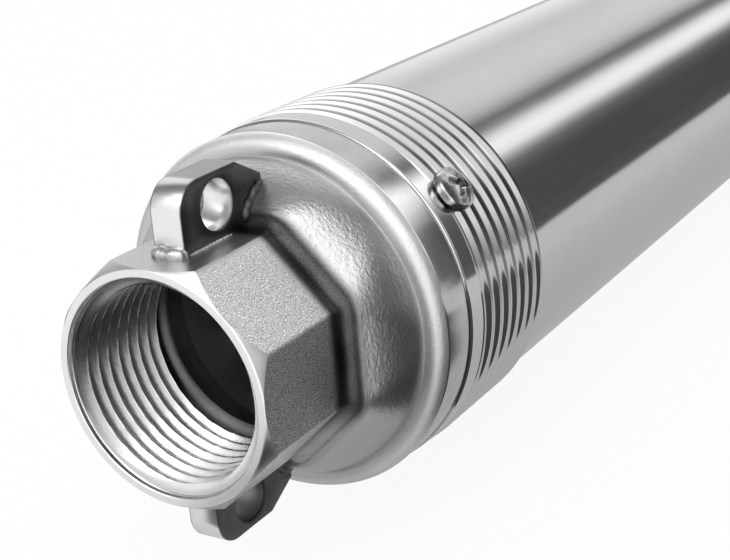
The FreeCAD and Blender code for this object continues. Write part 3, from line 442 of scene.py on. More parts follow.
LOOKS = {slot: finish(*row) for slot, row in {
    "cast_steel": ("blasted_cast_steel", blasted_casting),
    "face_steel": ("turned_face_steel", turned_face),
    "thread_steel": ("tapped_thread_steel", cut_thread),
    "collar_steel": ("satin_collar_steel", satin_collar),
    "lug_steel": ("cut_plate_steel", cut_plate),
    "weld_steel": ("weld_metal_steel", weld_metal),
    "polished_steel": ("polished_tube_steel", polished_tube),
    "machined_steel": ("turned_part_steel", turned_steel),
    "screw_steel": ("bright_screw_steel", bright_fastener),
    "guard_steel": ("rolled_sheet_steel", rolled_sheet),
    "bell_steel": ("turned_bell_steel", turned_steel),
    "spring_steel": ("spring_wire_steel", bright_fastener),
    "valve_plastic": ("black_valve_plastic",
                      moulded((0.12, 0.118, 0.112), (0.20, 0.197, 0.19), 0.30), 0.0),
    "bowl_plastic": ("dark_bowl_plastic",
                     moulded((0.045, 0.045, 0.048), (0.085, 0.085, 0.09), 0.36), 0.0),
    "impeller_plastic": ("cream_impeller_plastic",
                         moulded((0.66, 0.62, 0.52), (0.78, 0.75, 0.67), 0.30), 0.0),
    "cover_plastic": ("black_cover_plastic",
                      moulded((0.025, 0.025, 0.027), (0.05, 0.05, 0.052), 0.40), 0.0),
    "black_rubber": ("nitrile_rubber", rubbery, 0.0),
    "core_iron": ("stacked_core_iron", stacked_iron, 0.9),
    "winding_copper": ("varnished_copper",
                       yellow_metal((0.42, 0.17, 0.07), (0.66, 0.33, 0.16)), 0.9),
    "bush_bronze": ("bearing_bronze", yellow_metal((0.46, 0.32, 0.14), (0.66, 0.48, 0.25))),
    "gland_brass": ("turned_brass", yellow_metal((0.58, 0.44, 0.20), (0.78, 0.62, 0.34))),
}.items()}

slot_of = {row["node"]: row["material_slot"] for row in frame["record"]["subparts"]}
for node, obj in frame["nodes"].items():
    look = LOOKS[slot_of[node]]
    for slot in obj.material_slots:
        slot.material = look
    if not obj.material_slots:
        obj.data.materials.append(look)


def set_piece(obj, body, slot, *nodes):
    """Hangs a finished piece on its body, in place of the nodes it stands for."""
    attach(obj, body)
    if nodes:
        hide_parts(*nodes)


def add_object(name, mesh):
    """Links a mesh as an object at the origin."""
    obj = bpy.data.objects.new(name, mesh)
    bpy.context.scene.collection.objects.link(obj)
    return obj


def shade_edges(mesh, sharp):
    """Shades a mesh smooth up to its sharp edges."""
    mesh.shade_smooth()
    mesh.set_sharp_from_angle(angle=math.radians(sharp))


def tidy_mesh(mesh, sharp):
    """Merges doubles, turns the shell outwards and shades it."""
    work = bmesh.new()
    work.from_mesh(mesh)
    bmesh.ops.remove_doubles(work, verts=work.verts, dist=0.002 * MM)
    bmesh.ops.dissolve_degenerate(work, edges=work.edges, dist=0.001 * MM)
    if work.calc_volume(signed=True) < 0:
        bmesh.ops.reverse_faces(work, faces=work.faces)
    work.to_mesh(mesh)
    work.free()
    shade_edges(mesh, sharp)
    return mesh


def point_mesh(name, points, edges=(), faces=()):
    """Mesh from points in millimetres."""
    mesh = bpy.data.meshes.new(name)
    mesh.from_pydata(np.array(points, float).reshape(-1, 3) * MM, edges, faces)
    return mesh


def quads(index):
    """Faces between the neighbours in a grid of point numbers."""
    return np.stack([index[:-1, :-1], index[:-1, 1:], index[1:, 1:], index[1:, :-1]], -1).reshape(-1, 4)


def spread(count, corners):
    """Angles all the way round, with those of some corners among them."""
    angles = set(np.linspace(-math.pi, math.pi, count, endpoint=False))
    return np.array(sorted(angles | {math.atan2(y, x) for x, y in corners}))


def shell(name, points, faces, looks, sharp, face_looks=None):
    """Tidy object from points in millimetres and faces."""
    mesh = point_mesh(name, points, faces=faces.tolist())
    for look in looks:
        mesh.materials.append(LOOKS[look])
    if face_looks is not None:
        mesh.polygons.foreach_set("material_index", face_looks)
    return add_object(name, tidy_mesh(mesh, sharp))


def lattice(name, rows, looks, sharp, look_rows=None):
    """Closed shell from rows of points, joined up both ways."""
    count, width = len(rows), len(rows[0])
    index = np.pad(np.arange(count * width).reshape(count, width), (0, 1), mode="wrap")
    face_looks = None if look_rows is None else np.repeat(look_rows, width)
    return shell(name, rows, quads(index), looks, sharp, face_looks)


def ring(x, radius, angles):
    """One row of points round the pump's axis; x and radius may vary with the angle."""
    x = np.broadcast_to(x, angles.shape)
    return np.stack([x, radius * np.cos(angles), radius * np.sin(angles)], -1)


def arc(start, middle, end, count):
    """Points of the arc through three points, without its start."""
    a, b, c = (complex(*point) for point in (start, middle, end))
    w = (c - a) / (b - a)
    centre = a + (b - a) * (w - abs(w) ** 2) / (w - w.conjugate())
    turn, middle_turn = (cmath.phase((point - centre) / (a - centre)) for point in (c, b))
    if turn * middle_turn < 0:
        turn -= math.copysign(TURN, turn)
    points = [centre + (a - centre) * cmath.rect(1, turn * k / count) for k in range(1, count + 1)]
    return [(point.real, point.imag) for point in points]


def octagon_angles():
    """Angles round the socket, close together at its eight edges."""
    edge_start = 19.6
    flat = np.linspace(-edge_start, edge_start, 25)[:-1]
    edge = np.linspace(edge_start, 45 - edge_start, 9)[:-1]
    octant = np.concatenate([flat, edge])
    return np.radians(np.concatenate([octant + 45 * k for k in range(8)]))


def octagon_radius(half, edge, angles):
    """Distance from the axis to an octagon with rounded edges."""
    eighth = math.pi / 8
    off = (angles + eighth) % (2 * eighth) - eighth
    centre = (half - edge) / math.cos(eighth)
    limit = math.atan((half - edge) * math.tan(eighth) / half)
    gamma = eighth - np.abs(off)
    bend = np.sqrt(np.maximum(edge ** 2 - (centre * np.sin(gamma)) ** 2, 0))
    return np.where(np.abs(off) <= limit, half / np.cos(off), centre * np.cos(gamma) + bend)


def thread_wave(phase):
    """V thread with rounded tops: 0 at the crest and 1 at the root."""
    point = 0.955
    return 0.5 - 0.5 * np.arcsin(point * np.cos(TURN * phase)) / math.asin(point)


def dome_station(u):
    """Station, half width and edge radius of the dome, from its rim at 0 to the bead at 1."""
    x = DOME_X + (BEAD_FRONT_X - DOME_X) * u
    half = RIM_R + (BEAD_FOOT_R - RIM_R) * (u + DOME_BULGE * u * (1 - u))
    return x, half, RIM_CORNER + (DOME_ROUND * BEAD_FOOT_R - RIM_CORNER) * u


# Collar, valve chamber and mouth of the thread, as (x, radius)
COLLAR_PROFILE = ((31.55, 29.56), (31.75, 29.64), (32.1, 29.655), (COLLAR_END_X - 0.5, 29.66),
                  (COLLAR_END_X - 0.15, 29.65), (COLLAR_END_X, 29.5), (COLLAR_END_X, SPIGOT_R),
                  (SEAT_X, SPIGOT_R), (SEAT_X, CAGE_BORE_R), (CAGE_X, CAGE_BORE_R))
CHAMBER_PROFILE = ((CAGE_X, CHAMBER_R), (CHAMBER_X + CHAMBER_R - LIP_R, CHAMBER_R),
                   (CHAMBER_X, LIP_R), (LIP_X, LIP_R), (LIP_X, RELIEF_R))
MOUTH_PROFILE = ((0.8, 16.80), (0.72, 16.88), (0.12, 16.94))


def head_rows():
    """Rows of the discharge head from its face, outside, back and out through the bore."""
    angles = octagon_angles()
    rows, looks = [], []

    def row(x, radius, look):
        rows.append(ring(x, radius, angles))
        looks.append(look)

    cast, face, thread, collar = range(4)
    face_edge, mouth_edge = 0.05, 0.08
    slope = (CORNER_R - CHAMFER_R) / CHAMFER_LENGTH
    flats = octagon_radius(SOCKET_HALF, SOCKET_EDGE, angles)
    chamfer_x = np.clip((flats - CHAMFER_R) / slope, 0.06, None)
    row(0.0, MOUTH_R + mouth_edge, face)
    row(0.0, np.minimum(flats, CHAMFER_R) - face_edge, face)
    row(np.minimum(face_edge, chamfer_x), np.minimum(flats, CHAMFER_R + 0.03), face)
    row(chamfer_x, flats, cast)
    for x in np.linspace(2.0, SOCKET_LENGTH, 5):
        row(x, flats, cast)
    steps, sweep = 10, math.radians(72)
    for k in range(1, steps + 1):
        t = sweep * k / steps
        edge = SOCKET_EDGE + (RIM_CORNER - SOCKET_EDGE) * t / (math.pi / 2)
        half = SOCKET_HALF + FILLET * (1 - math.cos(t))
        row(SOCKET_LENGTH + FILLET * math.sin(t), octagon_radius(half, edge, angles), cast)
    rim = (SOCKET_LENGTH + FILLET * math.sin(t), half)
    x, half, edge = dome_station(DOME_START)
    for x, half in arc(rim, (DOME_X + 0.05, RIM_R - 0.05), (x, half), 6):
        row(x, octagon_radius(half, edge, angles), cast)
    for u in np.linspace(DOME_START, 1.0, 16)[1:]:
        x, half, edge = dome_station(u)
        row(x, octagon_radius(half, edge, angles), cast)
    bead_middle = ((BEAD_FRONT_X + BEAD_END_X) / 2 - BEAD_BULGE,
                   (BEAD_FOOT_R + COLLAR_R) / 2 + BEAD_BULGE)
    bead = arc((BEAD_FRONT_X, BEAD_FOOT_R), bead_middle, (BEAD_END_X, COLLAR_R), 14)
    for profile, look in ((bead, cast), (COLLAR_PROFILE, collar), (CHAMBER_PROFILE, cast),
                          (((THREAD_END + 0.2, RELIEF_R),), thread)):
        for x, r in profile:
            row(x, r, look)
    for x in np.arange(THREAD_END, THREAD_START, -THREAD_PITCH / THREAD_STEPS):
        wave = thread_wave(x / THREAD_PITCH - angles / TURN)
        cone = THREAD_CONE_R - (x - THREAD_START) * THREAD_CONE_SLOPE
        row(x, np.maximum(THREAD_MINOR_R + THREAD_DEPTH * wave, cone), thread)
    for x, r in MOUTH_PROFILE:
        row(x, r, face)
    return rows, looks


rows, look_rows = head_rows()
head = lattice("discharge_head_casting", rows,
               ["cast_steel", "face_steel", "thread_steel", "collar_steel"], 28.0, look_rows)
set_piece(head, "housing", "cast_steel", "discharge_head")


# Rope eyes: plates with an eye, welded to the socket


def eye_outline():
    """Outline of the plate seen from the side, as (x, z)."""
    nose = [(EYE_FRONT_X + EYE_NOSE_R * (1 - math.cos(a)), EYE_TOP - EYE_NOSE_R * (1 - math.sin(a)))
            for a in np.linspace(0, math.pi / 2, 13)]
    return [(EYE_FRONT_X, EYE_FOOT), *nose, (EYE_TOP_BACK_X, EYE_TOP), (EYE_BACK_X, EYE_BACK_TOP),
            (EYE_BACK_X, EYE_FOOT)]


def outline_reach(outline, angles):
    """Distance from the eye's centre to the plate's convex outline in each direction."""
    reach = np.full_like(angles, np.inf)
    for (x0, z0), (x1, z1) in zip(outline, outline[1:] + outline[:1]):
        out_x, out_z = z0 - z1, x1 - x0
        level = out_x * (x0 - EYE_X) + out_z * (z0 - EYE_Z)
        facing = out_x * np.cos(angles) + out_z * np.sin(angles)
        reach = np.minimum(reach, np.where(facing > TINY, level / np.maximum(facing, TINY), np.inf))
    return reach


def rope_eye(label, side):
    """Plate with rounded edges; side is 1 for the upper one and -1 for the lower one."""
    outline = eye_outline()
    angles = spread(96, [(x - EYE_X, z - EYE_Z) for x, z in outline])
    reach = outline_reach(outline, angles)
    rows = []
    # Distance from the eye's centre, and how much of the edge's size is off the plate's side
    face = [(EYE_R, 1), (EYE_R + 0.3 * EYE_EDGE, 0.3), (EYE_R + EYE_EDGE, 0),
            (reach - EYE_EDGE, 0), (reach - 0.3 * EYE_EDGE, 0.3), (reach, 1)]
    for sign in (1, -1):
        for distance, drop in face[::sign]:
            x = EYE_X + distance * np.cos(angles)
            z = EYE_Z + distance * np.sin(angles)
            y = sign * (EYE_HALF - drop * EYE_EDGE)
            rows.append(np.stack([x, np.full_like(x, y * side), z * side], -1))
    plate = lattice(f"rope_eye_{label}_plate", rows, ["lug_steel"], 40.0)
    set_piece(plate, "housing", "lug_steel", f"rope_eye_{label}")


rope_eye("upper", 1)
rope_eye("lower", -1)


def geometry_tree(name, sizes, build):
    """Geometry node tree with named inputs; build gets the net and the inputs' wires."""
    tree = bpy.data.node_groups.new(name, "GeometryNodeTree")
    tree.interface.new_socket("Geometry", in_out="INPUT", socket_type="NodeSocketGeometry")
    tree.interface.new_socket("Geometry", in_out="OUTPUT", socket_type="NodeSocketGeometry")
    kinds = {float: "NodeSocketFloat", int: "NodeSocketInt", str: "NodeSocketObject"}
    for label, value in sizes.items():
        tree.interface.new_socket(label, in_out="INPUT", socket_type=kinds[type(value)])
    net = Net(tree)
    source = tree.nodes.new("NodeGroupInput")
    result = build(net, {label: Wire(net, source.outputs[label]) for label in ["Geometry", *sizes]})
    net.feed(tree.nodes.new("NodeGroupOutput").inputs["Geometry"], result)
    return tree


def grown(name, tree, sizes, mesh=None):
    """Plain mesh that a geometry tree makes with the given sizes."""
    obj = add_object(name, mesh or bpy.data.meshes.new(name))
    modifier = obj.modifiers.new("grow", "NODES")
    modifier.node_group = tree
    for item in tree.interface.items_tree:
        if item.in_out == "INPUT" and item.name in sizes:
            value = sizes[item.name]
            modifier[item.identifier] = bpy.data.objects[value] if isinstance(value, str) else value
    bpy.context.view_layer.update()
    seen = obj.evaluated_get(bpy.context.evaluated_depsgraph_get())
    plain = bpy.data.meshes.new_from_object(seen)
    obj.modifiers.clear()
    obj.data = plain
    plain.name = name
    return obj


def realized(net, geometry, look):
    """Ends a tree: real geometry with its material."""
    geometry = net.geo("RealizeInstances", {0: geometry})
    return net.geo("SetMaterial", {"Geometry": geometry, "Material": LOOKS[look]})


def merged(net, parts, gap, look):
    """Ends a tree: parts joined where their points are within a gap in millimetres."""
    join = net.tree.nodes.new("GeometryNodeJoinGeometry")
    for part in parts:
        net.tree.links.new(part.socket, join.inputs[0])
    whole = net.geo("MergeByDistance", {
        "Geometry": Wire(net, join.outputs[0]), "Distance": gap * MM})
    return realized(net, whole, look)


def wrapped_grid(net, lengthwise, columns, shape):
    """Grid bent round the axis; shape turns (along, round) into x and radius."""
    grid = net.geo("MeshGrid", {
        "Size X": 1.0, "Size Y": 1.0, "Vertices X": lengthwise, "Vertices Y": columns})
    across, over, _ = net.geo("InputPosition").split()
    round_ = over + 0.5
    x, radius = shape(across + 0.5, round_)
    angle = round_ * TURN
    place = net.vector(x * MM, radius * angle.math("COSINE") * MM,
                       radius * angle.math("SINE") * MM)
    return net.geo("SetPosition", {"Geometry": grid, "Position": place})


def sleeve_build(net, size):
    """Tube with a plain band and a rolled thread at both ends."""
    start, end, columns = size["Start"], size["End"], size["Columns"]
    zone = 27.0
    lip = 0.3

    def outside(x, twist):
        inset = (x - start).math("MINIMUM", end - x)
        turn = (inset - size["Band length"]) / size["Pitch"]
        wave = ((turn - RIDGE_PHASE - twist) * TURN).math("COSINE")
        ridged = net.between(turn, -0.05, 0.12, RIDGES - 0.08, RIDGES + 0.2)
        deep = size["Crest"] - (size["Crest"] - size["Root"]) * (0.5 + wave * 0.5)
        plain = net.ease(turn, 0.2, 1.0, size["Band"], size["Tube"])
        edge = net.ease(inset, 0.0, 0.25, -0.25, 0.0)
        return plain + (deep - plain) * ridged + edge

    def end_zone(from_x, hand):
        def shape(along, round_):
            x = from_x + along * zone
            return x, outside(x, round_ * hand)
        return wrapped_grid(net, size["Rows"], columns, shape)

    def strip(x0, x1, r0, r1):
        def shape(along, _):
            return x0 + (x1 - x0) * along, r0 + (r1 - r0) * along
        return wrapped_grid(net, 2, columns, shape)

    tube, bore, band = size["Tube"], size["Bore"], size["Band"]
    return merged(net, [
        end_zone(start, 1), end_zone(end - zone, -1), strip(start + zone, end - zone, tube, tube),
        strip(end, start, bore, bore), strip(start, start, bore, band - lip),
        strip(end, end, band - lip, bore)], 0.003, "polished_steel")


sleeve_sizes = {"Start": COLLAR_END_X, "End": SLEEVE_END_X, "Band length": BAND_LENGTH,
                "Pitch": RIDGE_PITCH, "Crest": CREST_R, "Root": ROOT_R, "Band": BAND_R,
                "Tube": TUBE_R, "Bore": BORE_R, "Rows": 180, "Columns": 193}
sleeve = grown("pump_sleeve_rolled", geometry_tree("rolled_sleeve", sleeve_sizes, sleeve_build),
               sleeve_sizes)
tidy_mesh(sleeve.data, 40.0)
set_piece(sleeve, "housing", "polished_steel", "pump_sleeve")


def smooth_copy(node, body):
    """Copy of a CAD node with merged corners, shaded smooth up to its sharp edges."""
    mesh = frame["nodes"][node].data.copy()
    mesh.name = node + "_finished"
    if "custom_normal" in mesh.attributes:
        mesh.attributes.remove(mesh.attributes["custom_normal"])
    set_piece(add_object(mesh.name, tidy_mesh(mesh, 34.0)), body, slot_of[node], node)


for node in ("suction_casing", "motor_nuts", "motor_studs", "cable_gland", "diaphragm_cover"):
    smooth_copy(node, "housing")
smooth_copy("coupling", "rotor")


def screw_head(name, recess, radius, height, rim):
    """Screw head along +Z with its foot at 0; recess gives the depth at (x, y)."""
    angles = np.linspace(0, TURN, 96, endpoint=False)
    steps, crown = 22, 0.96
    rows = []

    def row(distance, level):
        x, y = distance * np.cos(angles), distance * np.sin(angles)
        sunk = recess(x / radius, y / radius) * height if distance < radius * 0.95 else 0
        rows.append(np.stack([x, y, level - sunk + 0 * x], -1))

    row(0.0, height)
    for k in range(1, steps + 1):
        t = crown * k / steps
        row(radius * t, rim + (height - rim) * (1 - t ** 2))
    row(radius, rim * 0.86)
    row(radius, 0.0)
    row(0.0, 0.0)
    return lattice(name, rows[::-1], ["screw_steel"], 50.0)


def cross_recess(x, y):
    """Cross shaped recess with sloping ends, in parts of the head's size."""
    depth = np.zeros_like(x)
    for along, across in ((x, y), (y, x)):
        wide = np.clip((0.17 - np.abs(across)) / 0.06, 0, 1)
        reach = np.clip((0.66 - np.abs(along)) / 0.34, 0, 1)
        depth = np.maximum(depth, wide * reach)
    return depth * 0.62


def hexagon_recess(x, y):
    """Six sided recess with upright walls, in parts of the head's size."""
    reach = np.zeros_like(x)
    for a in (0, math.pi / 3, math.pi / 3 * 2):
        reach = np.maximum(reach, np.abs(x * math.cos(a) + y * math.sin(a)))
    return np.clip((0.50 - reach) / 0.05, 0, 1) * 0.6


def screws_build(net, size):
    """One copy of the screw on each point, turned to face outwards."""
    way = net.add("GeometryNodeInputNamedAttribute", {"data_type": "FLOAT_VECTOR"},
                  {"Name": "facing"})
    turn = net.add("FunctionNodeRandomValue", {"data_type": "FLOAT"},
                   {"Seed": size["Seed"]}, out=1) * TURN
    stand = net.add("FunctionNodeAlignRotationToVector", {"axis": "Z"}, {"Vector": way})
    stand = net.add("FunctionNodeRotateRotation", {"rotation_space": "LOCAL"},
                    {"Rotation": stand, "Rotate By": net.vector(z=turn)})
    screw = net.geo("ObjectInfo", {"Object": size["Screw"]}, out="Geometry")
    copies = net.geo("InstanceOnPoints", {
        "Points": size["Geometry"], "Instance": screw, "Rotation": stand})
    return realized(net, copies, "screw_steel")


screw_tree = geometry_tree("screws_on_points", {"Screw": "", "Seed": 1}, screws_build)


def screws(name, pattern, places, seed, node):
    """A set of equal screws as one piece, from their points and outward directions."""
    mesh = point_mesh(name, [spot for spot, way in places])
    facing = mesh.attributes.new("facing", "FLOAT_VECTOR", "POINT")
    facing.data.foreach_set("vector", np.array([way for spot, way in places], float).ravel())
    obj = grown(name, screw_tree, {"Screw": pattern.name, "Seed": seed}, mesh)
    shade_edges(obj.data, 50)
    set_piece(obj, "housing", "screw_steel", node)


def radial_place(x, radius, degrees):
    """Point and outward direction at an angle from +Y towards +Z."""
    a = math.radians(degrees)
    way = (0.0, math.cos(a), math.sin(a))
    return (x, radius * way[1], radius * way[2]), way


LOCK_X = 45.4
LOCK_ANGLE = 142.4
LOWER_LOCK_X = SLEEVE_END_X - (LOCK_X - COLLAR_END_X)
GUARD_X0, GUARD_X1 = 73.0, 313.6
GUARD_EAR = 10.0
GUARD_SEAT_R = 29.6
GUARD_SHEET = 0.8
GUARD_SCREW_ANGLE = 17.0
COVER_PLATE = 3.0
COVER_SCREW_CIRCLE_R = 24.0

lock_pattern = screw_head("lock_pattern", cross_recess, radius=3.6, height=2.3, rim=1.1)
guard_pattern = screw_head("guard_pattern", cross_recess, radius=2.6, height=1.3, rim=0.65)
cover_pattern = screw_head("cover_pattern", hexagon_recess, radius=2.7, height=1.6, rim=1.45)
screws("lock_screw_upper_head", lock_pattern, [radial_place(LOCK_X, CREST_R, LOCK_ANGLE)], 3,
       "lock_screw_upper")
screws("lock_screw_lower_head", lock_pattern, [radial_place(LOWER_LOCK_X, CREST_R, LOCK_ANGLE)],
       5, "lock_screw_lower")
screws("guard_screw_heads", guard_pattern,
       [radial_place(x, GUARD_SEAT_R + GUARD_SHEET, 270 + angle)
        for x in (GUARD_X0 + GUARD_EAR / 2, GUARD_X1 - GUARD_EAR / 2)
        for angle in (-GUARD_SCREW_ANGLE, GUARD_SCREW_ANGLE)], 7, "guard_screws")
screws("cover_screw_heads", cover_pattern,
       [(radial_place(LOWER_END_X + COVER_PLATE, COVER_SCREW_CIRCLE_R, degrees)[0], (1.0, 0.0, 0.0))
        for degrees in (45, 135, 225, 315)], 9, "cover_screws")
for pattern in (lock_pattern, guard_pattern, cover_pattern):
    bpy.data.objects.remove(pattern)


def weld_build(net, size):
    """Lumpy round bead along a path, closed at both ends."""
    path = net.geo("MeshToCurve", {"Mesh": size["Geometry"]})
    path = net.geo("ResampleCurve", {"Curve": path, "Count": 72})
    along = net.geo("SplineParameter")
    tip = (1.002 - (along * 2.0 - 1.0).math("ABSOLUTE").math("POWER", 6.0)).math("SQRT")
    lumps = 1.0 - size["Depth"] * (along * size["Lumps"] * TURN).math("COSINE")
    uneven = net.add("ShaderNodeTexNoise", {"noise_dimensions": "4D"}, {
        "Vector": net.geo("InputPosition"), "W": size["Seed"], "Scale": 600.0, "Detail": 1.0})
    scale = size["Width"] * MM * tip * (lumps + (uneven - 0.5) * 0.35)
    profile = net.geo("CurvePrimitiveCircle", {"Resolution": 24, "Radius": 1.0})
    bead = net.geo("CurveToMesh", {
        "Curve": path, "Profile Curve": profile, "Scale": scale, "Fill Caps": True})
    return realized(net, bead, "weld_steel")


weld_tree = geometry_tree("weld_bead", {"Width": 0.6, "Lumps": 4.0, "Depth": 0.1, "Seed": 1.0},
                          weld_build)
WELD_DEPTH = 0.12
FOOT_WELD = {"Width": 0.32, "Lumps": 12.0, "Depth": WELD_DEPTH, "Seed": 11.0}
DOME_WELD = {"Width": 0.85, "Lumps": 3.5, "Depth": WELD_DEPTH, "Seed": 5.0}
FRONT_WELD = {"Width": 1.15, "Lumps": 2.0, "Depth": WELD_DEPTH, "Seed": 4.0}
FOOT_WELD_X = (7.0, 17.2)
DOME_WELD_X = (21.0, 25.2)
DOME_WELD_START_X, DOME_WELD_START_RISE = 20.3, 0.8
FRONT_WELD_X, FRONT_WELD_RISE = EYE_FRONT_X - 0.6, 0.3
FRONT_WELD_HALF = 2.9
FRONT_WELD_BOW = 0.13


def weld(name, points, sizes):
    """Weld bead along points in millimetres."""
    path = point_mesh(name, points, [(k, k + 1) for k in range(len(points) - 1)])
    obj = grown(name, weld_tree, sizes, path)
    obj.data.shade_smooth()
    set_piece(obj, "housing", "lug_steel")


def dome_height(x):
    """Height of the dome over the axis, above the flat that carries the rope eye."""
    return dome_station((x - DOME_X) / (BEAD_FRONT_X - DOME_X))[1]


for label, side in (("upper", 1), ("lower", -1)):
    foot = SOCKET_HALF * side
    for edge, y in (("left", EYE_HALF), ("right", -EYE_HALF)):
        weld(f"rope_eye_{label}_{edge}_weld", [(x, y, foot) for x in FOOT_WELD_X], FOOT_WELD)
        rise = [(x, y, dome_height(x) * side) for x in np.linspace(*DOME_WELD_X, 9)]
        start = (DOME_WELD_START_X, y, (SOCKET_HALF + DOME_WELD_START_RISE) * side)
        weld(f"rope_eye_{label}_{edge}_dome_weld", [start, *rise], DOME_WELD)
    weld(f"rope_eye_{label}_front_weld",
         [(FRONT_WELD_X + FRONT_WELD_BOW * y * y, y, foot + FRONT_WELD_RISE * side)
          for y in np.linspace(FRONT_WELD_HALF, -FRONT_WELD_HALF, 15)], FRONT_WELD)


# Slotted sheet of the strainer: one panel, repeated round the axis in two rows
STRAINER_SLOTS = 24
SLOT_HALF = 1.3
SLOT_LENGTH = 11.0
SLOT_MARGIN = 5.0
SLOT_GAP = 4.0
SLOT_BURR = 0.12
SHEET = 0.65


def slot_panel(name):
    """Panel of the sheet with one rounded slot, its outside at the tube's radius above +Y."""
    half = math.pi / STRAINER_SLOTS * TUBE_R
    left, right = -(SLOT_LENGTH / 2 + SLOT_MARGIN), SLOT_LENGTH / 2 + SLOT_GAP / 2
    angles = spread(56, [(x, y) for x in (left, right) for y in (-half, half)])
    c, s = np.cos(angles), np.sin(angles)
    reach = np.minimum(np.where(c > 0, right, -left) / np.maximum(np.abs(c), TINY),
                       half / np.maximum(np.abs(s), TINY))
    end = SLOT_LENGTH / 2 - SLOT_HALF
    side = SLOT_HALF / np.maximum(np.abs(s), TINY)
    round_end = end * np.abs(c) + np.sqrt(np.maximum(SLOT_HALF ** 2 - (end * s) ** 2, 0))
    inner = np.where(side * np.abs(c) <= end, side, round_end)
    rows = []
    for t in (0.0, 0.06, 0.3, 0.65, 1.0):
        distance = inner + (reach - inner) * t
        x, turn = distance * c, distance * s / TUBE_R
        rows.append(ring(x, TUBE_R - (SLOT_BURR if t == 0 else 0.0), turn))
    index = np.arange(len(rows) * len(angles)).reshape(len(rows), -1)
    faces = quads(np.hstack([index, index[:, :1]]))
    return add_object(name, point_mesh(name, rows, faces=faces.tolist()))


def strainer_build(net, size):
    """Panels round the axis, leaving the cable's gap open."""
    panel = net.geo("ObjectInfo", {"Object": size["Panel"]}, out="Geometry")
    count = size["Slots"]
    turn = net.vector((net.geo("InputIndex") + 1.0) * (TURN / count) - math.pi / 2)
    bands = []
    for start, facing in ((size["Start"], 1.0), (size["End"], -1.0)):
        line = net.geo("MeshLine", {"Count": count - 1, "Offset": (0, 0, 0)})
        line = net.geo("SetPosition", {"Geometry": line, "Position": net.vector(start * MM)})
        copies = net.geo("InstanceOnPoints", {
            "Points": line, "Instance": panel, "Rotation": turn, "Scale": (facing, 1.0, 1.0)})
        band = net.geo("RealizeInstances", {0: copies})
        if facing < 0:
            band = net.geo("FlipFaces", {"Mesh": band})
        bands.append(band)
    return merged(net, bands, 0.01, "polished_steel")


def strainer_sheet():
    """Strainer sheet with its perforations, given its thickness."""
    panel = slot_panel("slot_panel")
    tree = geometry_tree("slotted_sheet", {"Panel": "", "Slots": 1, "Start": 0.0, "End": 0.0},
                         strainer_build)
    obj = grown("strainer_slotted_sheet", tree, {
        "Panel": panel.name, "Slots": STRAINER_SLOTS,
        "Start": WINDOW_X + SLOT_MARGIN + SLOT_LENGTH / 2,
        "End": FLANGE_X - SLOT_MARGIN - SLOT_LENGTH / 2})
    bpy.data.objects.remove(panel)
    work = bmesh.new()
    work.from_mesh(obj.data)
    bmesh.ops.recalc_face_normals(work, faces=work.faces)
    if sum(f.normal.dot(Vector((0, *f.calc_center_median()[1:]))) for f in work.faces) < 0:
        bmesh.ops.reverse_faces(work, faces=work.faces)
    bmesh.ops.solidify(work, geom=list(work.faces), thickness=SHEET * MM)
    work.to_mesh(obj.data)
    work.free()
    tidy_mesh(obj.data, 35.0)
    set_piece(obj, "housing", "polished_steel", "strainer")


strainer_sheet()

# Pressed channel over the cable, with a saddle at both ends
GUARD_HALF = 5.5
GUARD_DEPTH = 35.8
GUARD_CLEAR_R = 30.5
GUARD_EAR_HALF = 12.5
GUARD_BEND = 2.2
EAR_BEND = 0.9
EAR_DROP = 1.1


def guard_section(wing, inset):
    """Half section of the channel from the ear's tip to the middle, as (y, depth)."""
    radius = GUARD_SEAT_R + GUARD_SHEET - inset
    half, bend = GUARD_HALF - inset, GUARD_BEND - inset
    foot = math.sqrt((GUARD_CLEAR_R if wing == 0 else radius) ** 2 - half ** 2)
    points = []
    tip = half + (GUARD_EAR_HALF - half) * wing
    for t in np.linspace(0, 1, 9):
        y = tip + (half + EAR_BEND * wing - tip) * t
        points.append((y, math.sqrt(radius ** 2 - y ** 2) if wing else foot))
    for t in (0.3, 0.6, 0.85, 1.0):
        points.append((half + EAR_BEND * wing * (1 - t) ** 2, foot + EAR_DROP * wing * t ** 2))
    low = GUARD_DEPTH - inset
    points.append((half, low - bend))
    for a in np.linspace(0, math.pi / 2, 9)[1:]:
        points.append((half - bend + bend * math.cos(a), low - bend + bend * math.sin(a)))
    points.append((0.0, low))
    return points


def guard_channel():
    """Closed shell of the sheet channel, between its outer and its inner face."""
    x0, x1 = GUARD_X0, GUARD_X1
    rim, step, clear = 0.2, 0.01, 5
    near = [(x0, 1), (x0 + rim, 1), (x0 + GUARD_EAR - rim, 1), (x0 + GUARD_EAR, 1),
            (x0 + GUARD_EAR + step, 0)]
    middle = [(x, 0) for x in np.linspace(x0 + GUARD_EAR + clear, x1 - GUARD_EAR - clear, 24)]
    stations = near + middle + [(x0 + x1 - x, wing) for x, wing in near[::-1]]
    points = []
    for inset in (0.0, GUARD_SHEET):
        for x, wing in stations:
            half = guard_section(wing, inset)
            points.append([(x, y, -d) for y, d in half + [(-y, d) for y, d in half[-2::-1]]])
    count, width = len(stations), len(points[0])
    outer, inner = np.arange(2 * count * width).reshape(2, count, width)
    faces = [quads(outer), quads(inner)[:, ::-1]]
    for top, under in ((outer[0], inner[0]), (outer[-1][::-1], inner[-1][::-1]),
                       (outer[:, -1], inner[:, -1]), (outer[:, 0][::-1], inner[:, 0][::-1])):
        faces.append(quads(np.stack([top, under], 1)))
    guard = shell("cable_guard_channel", points, np.concatenate(faces), ["guard_steel"], 40.0)
    set_piece(guard, "housing", "guard_steel", "cable_guard")


guard_channel()

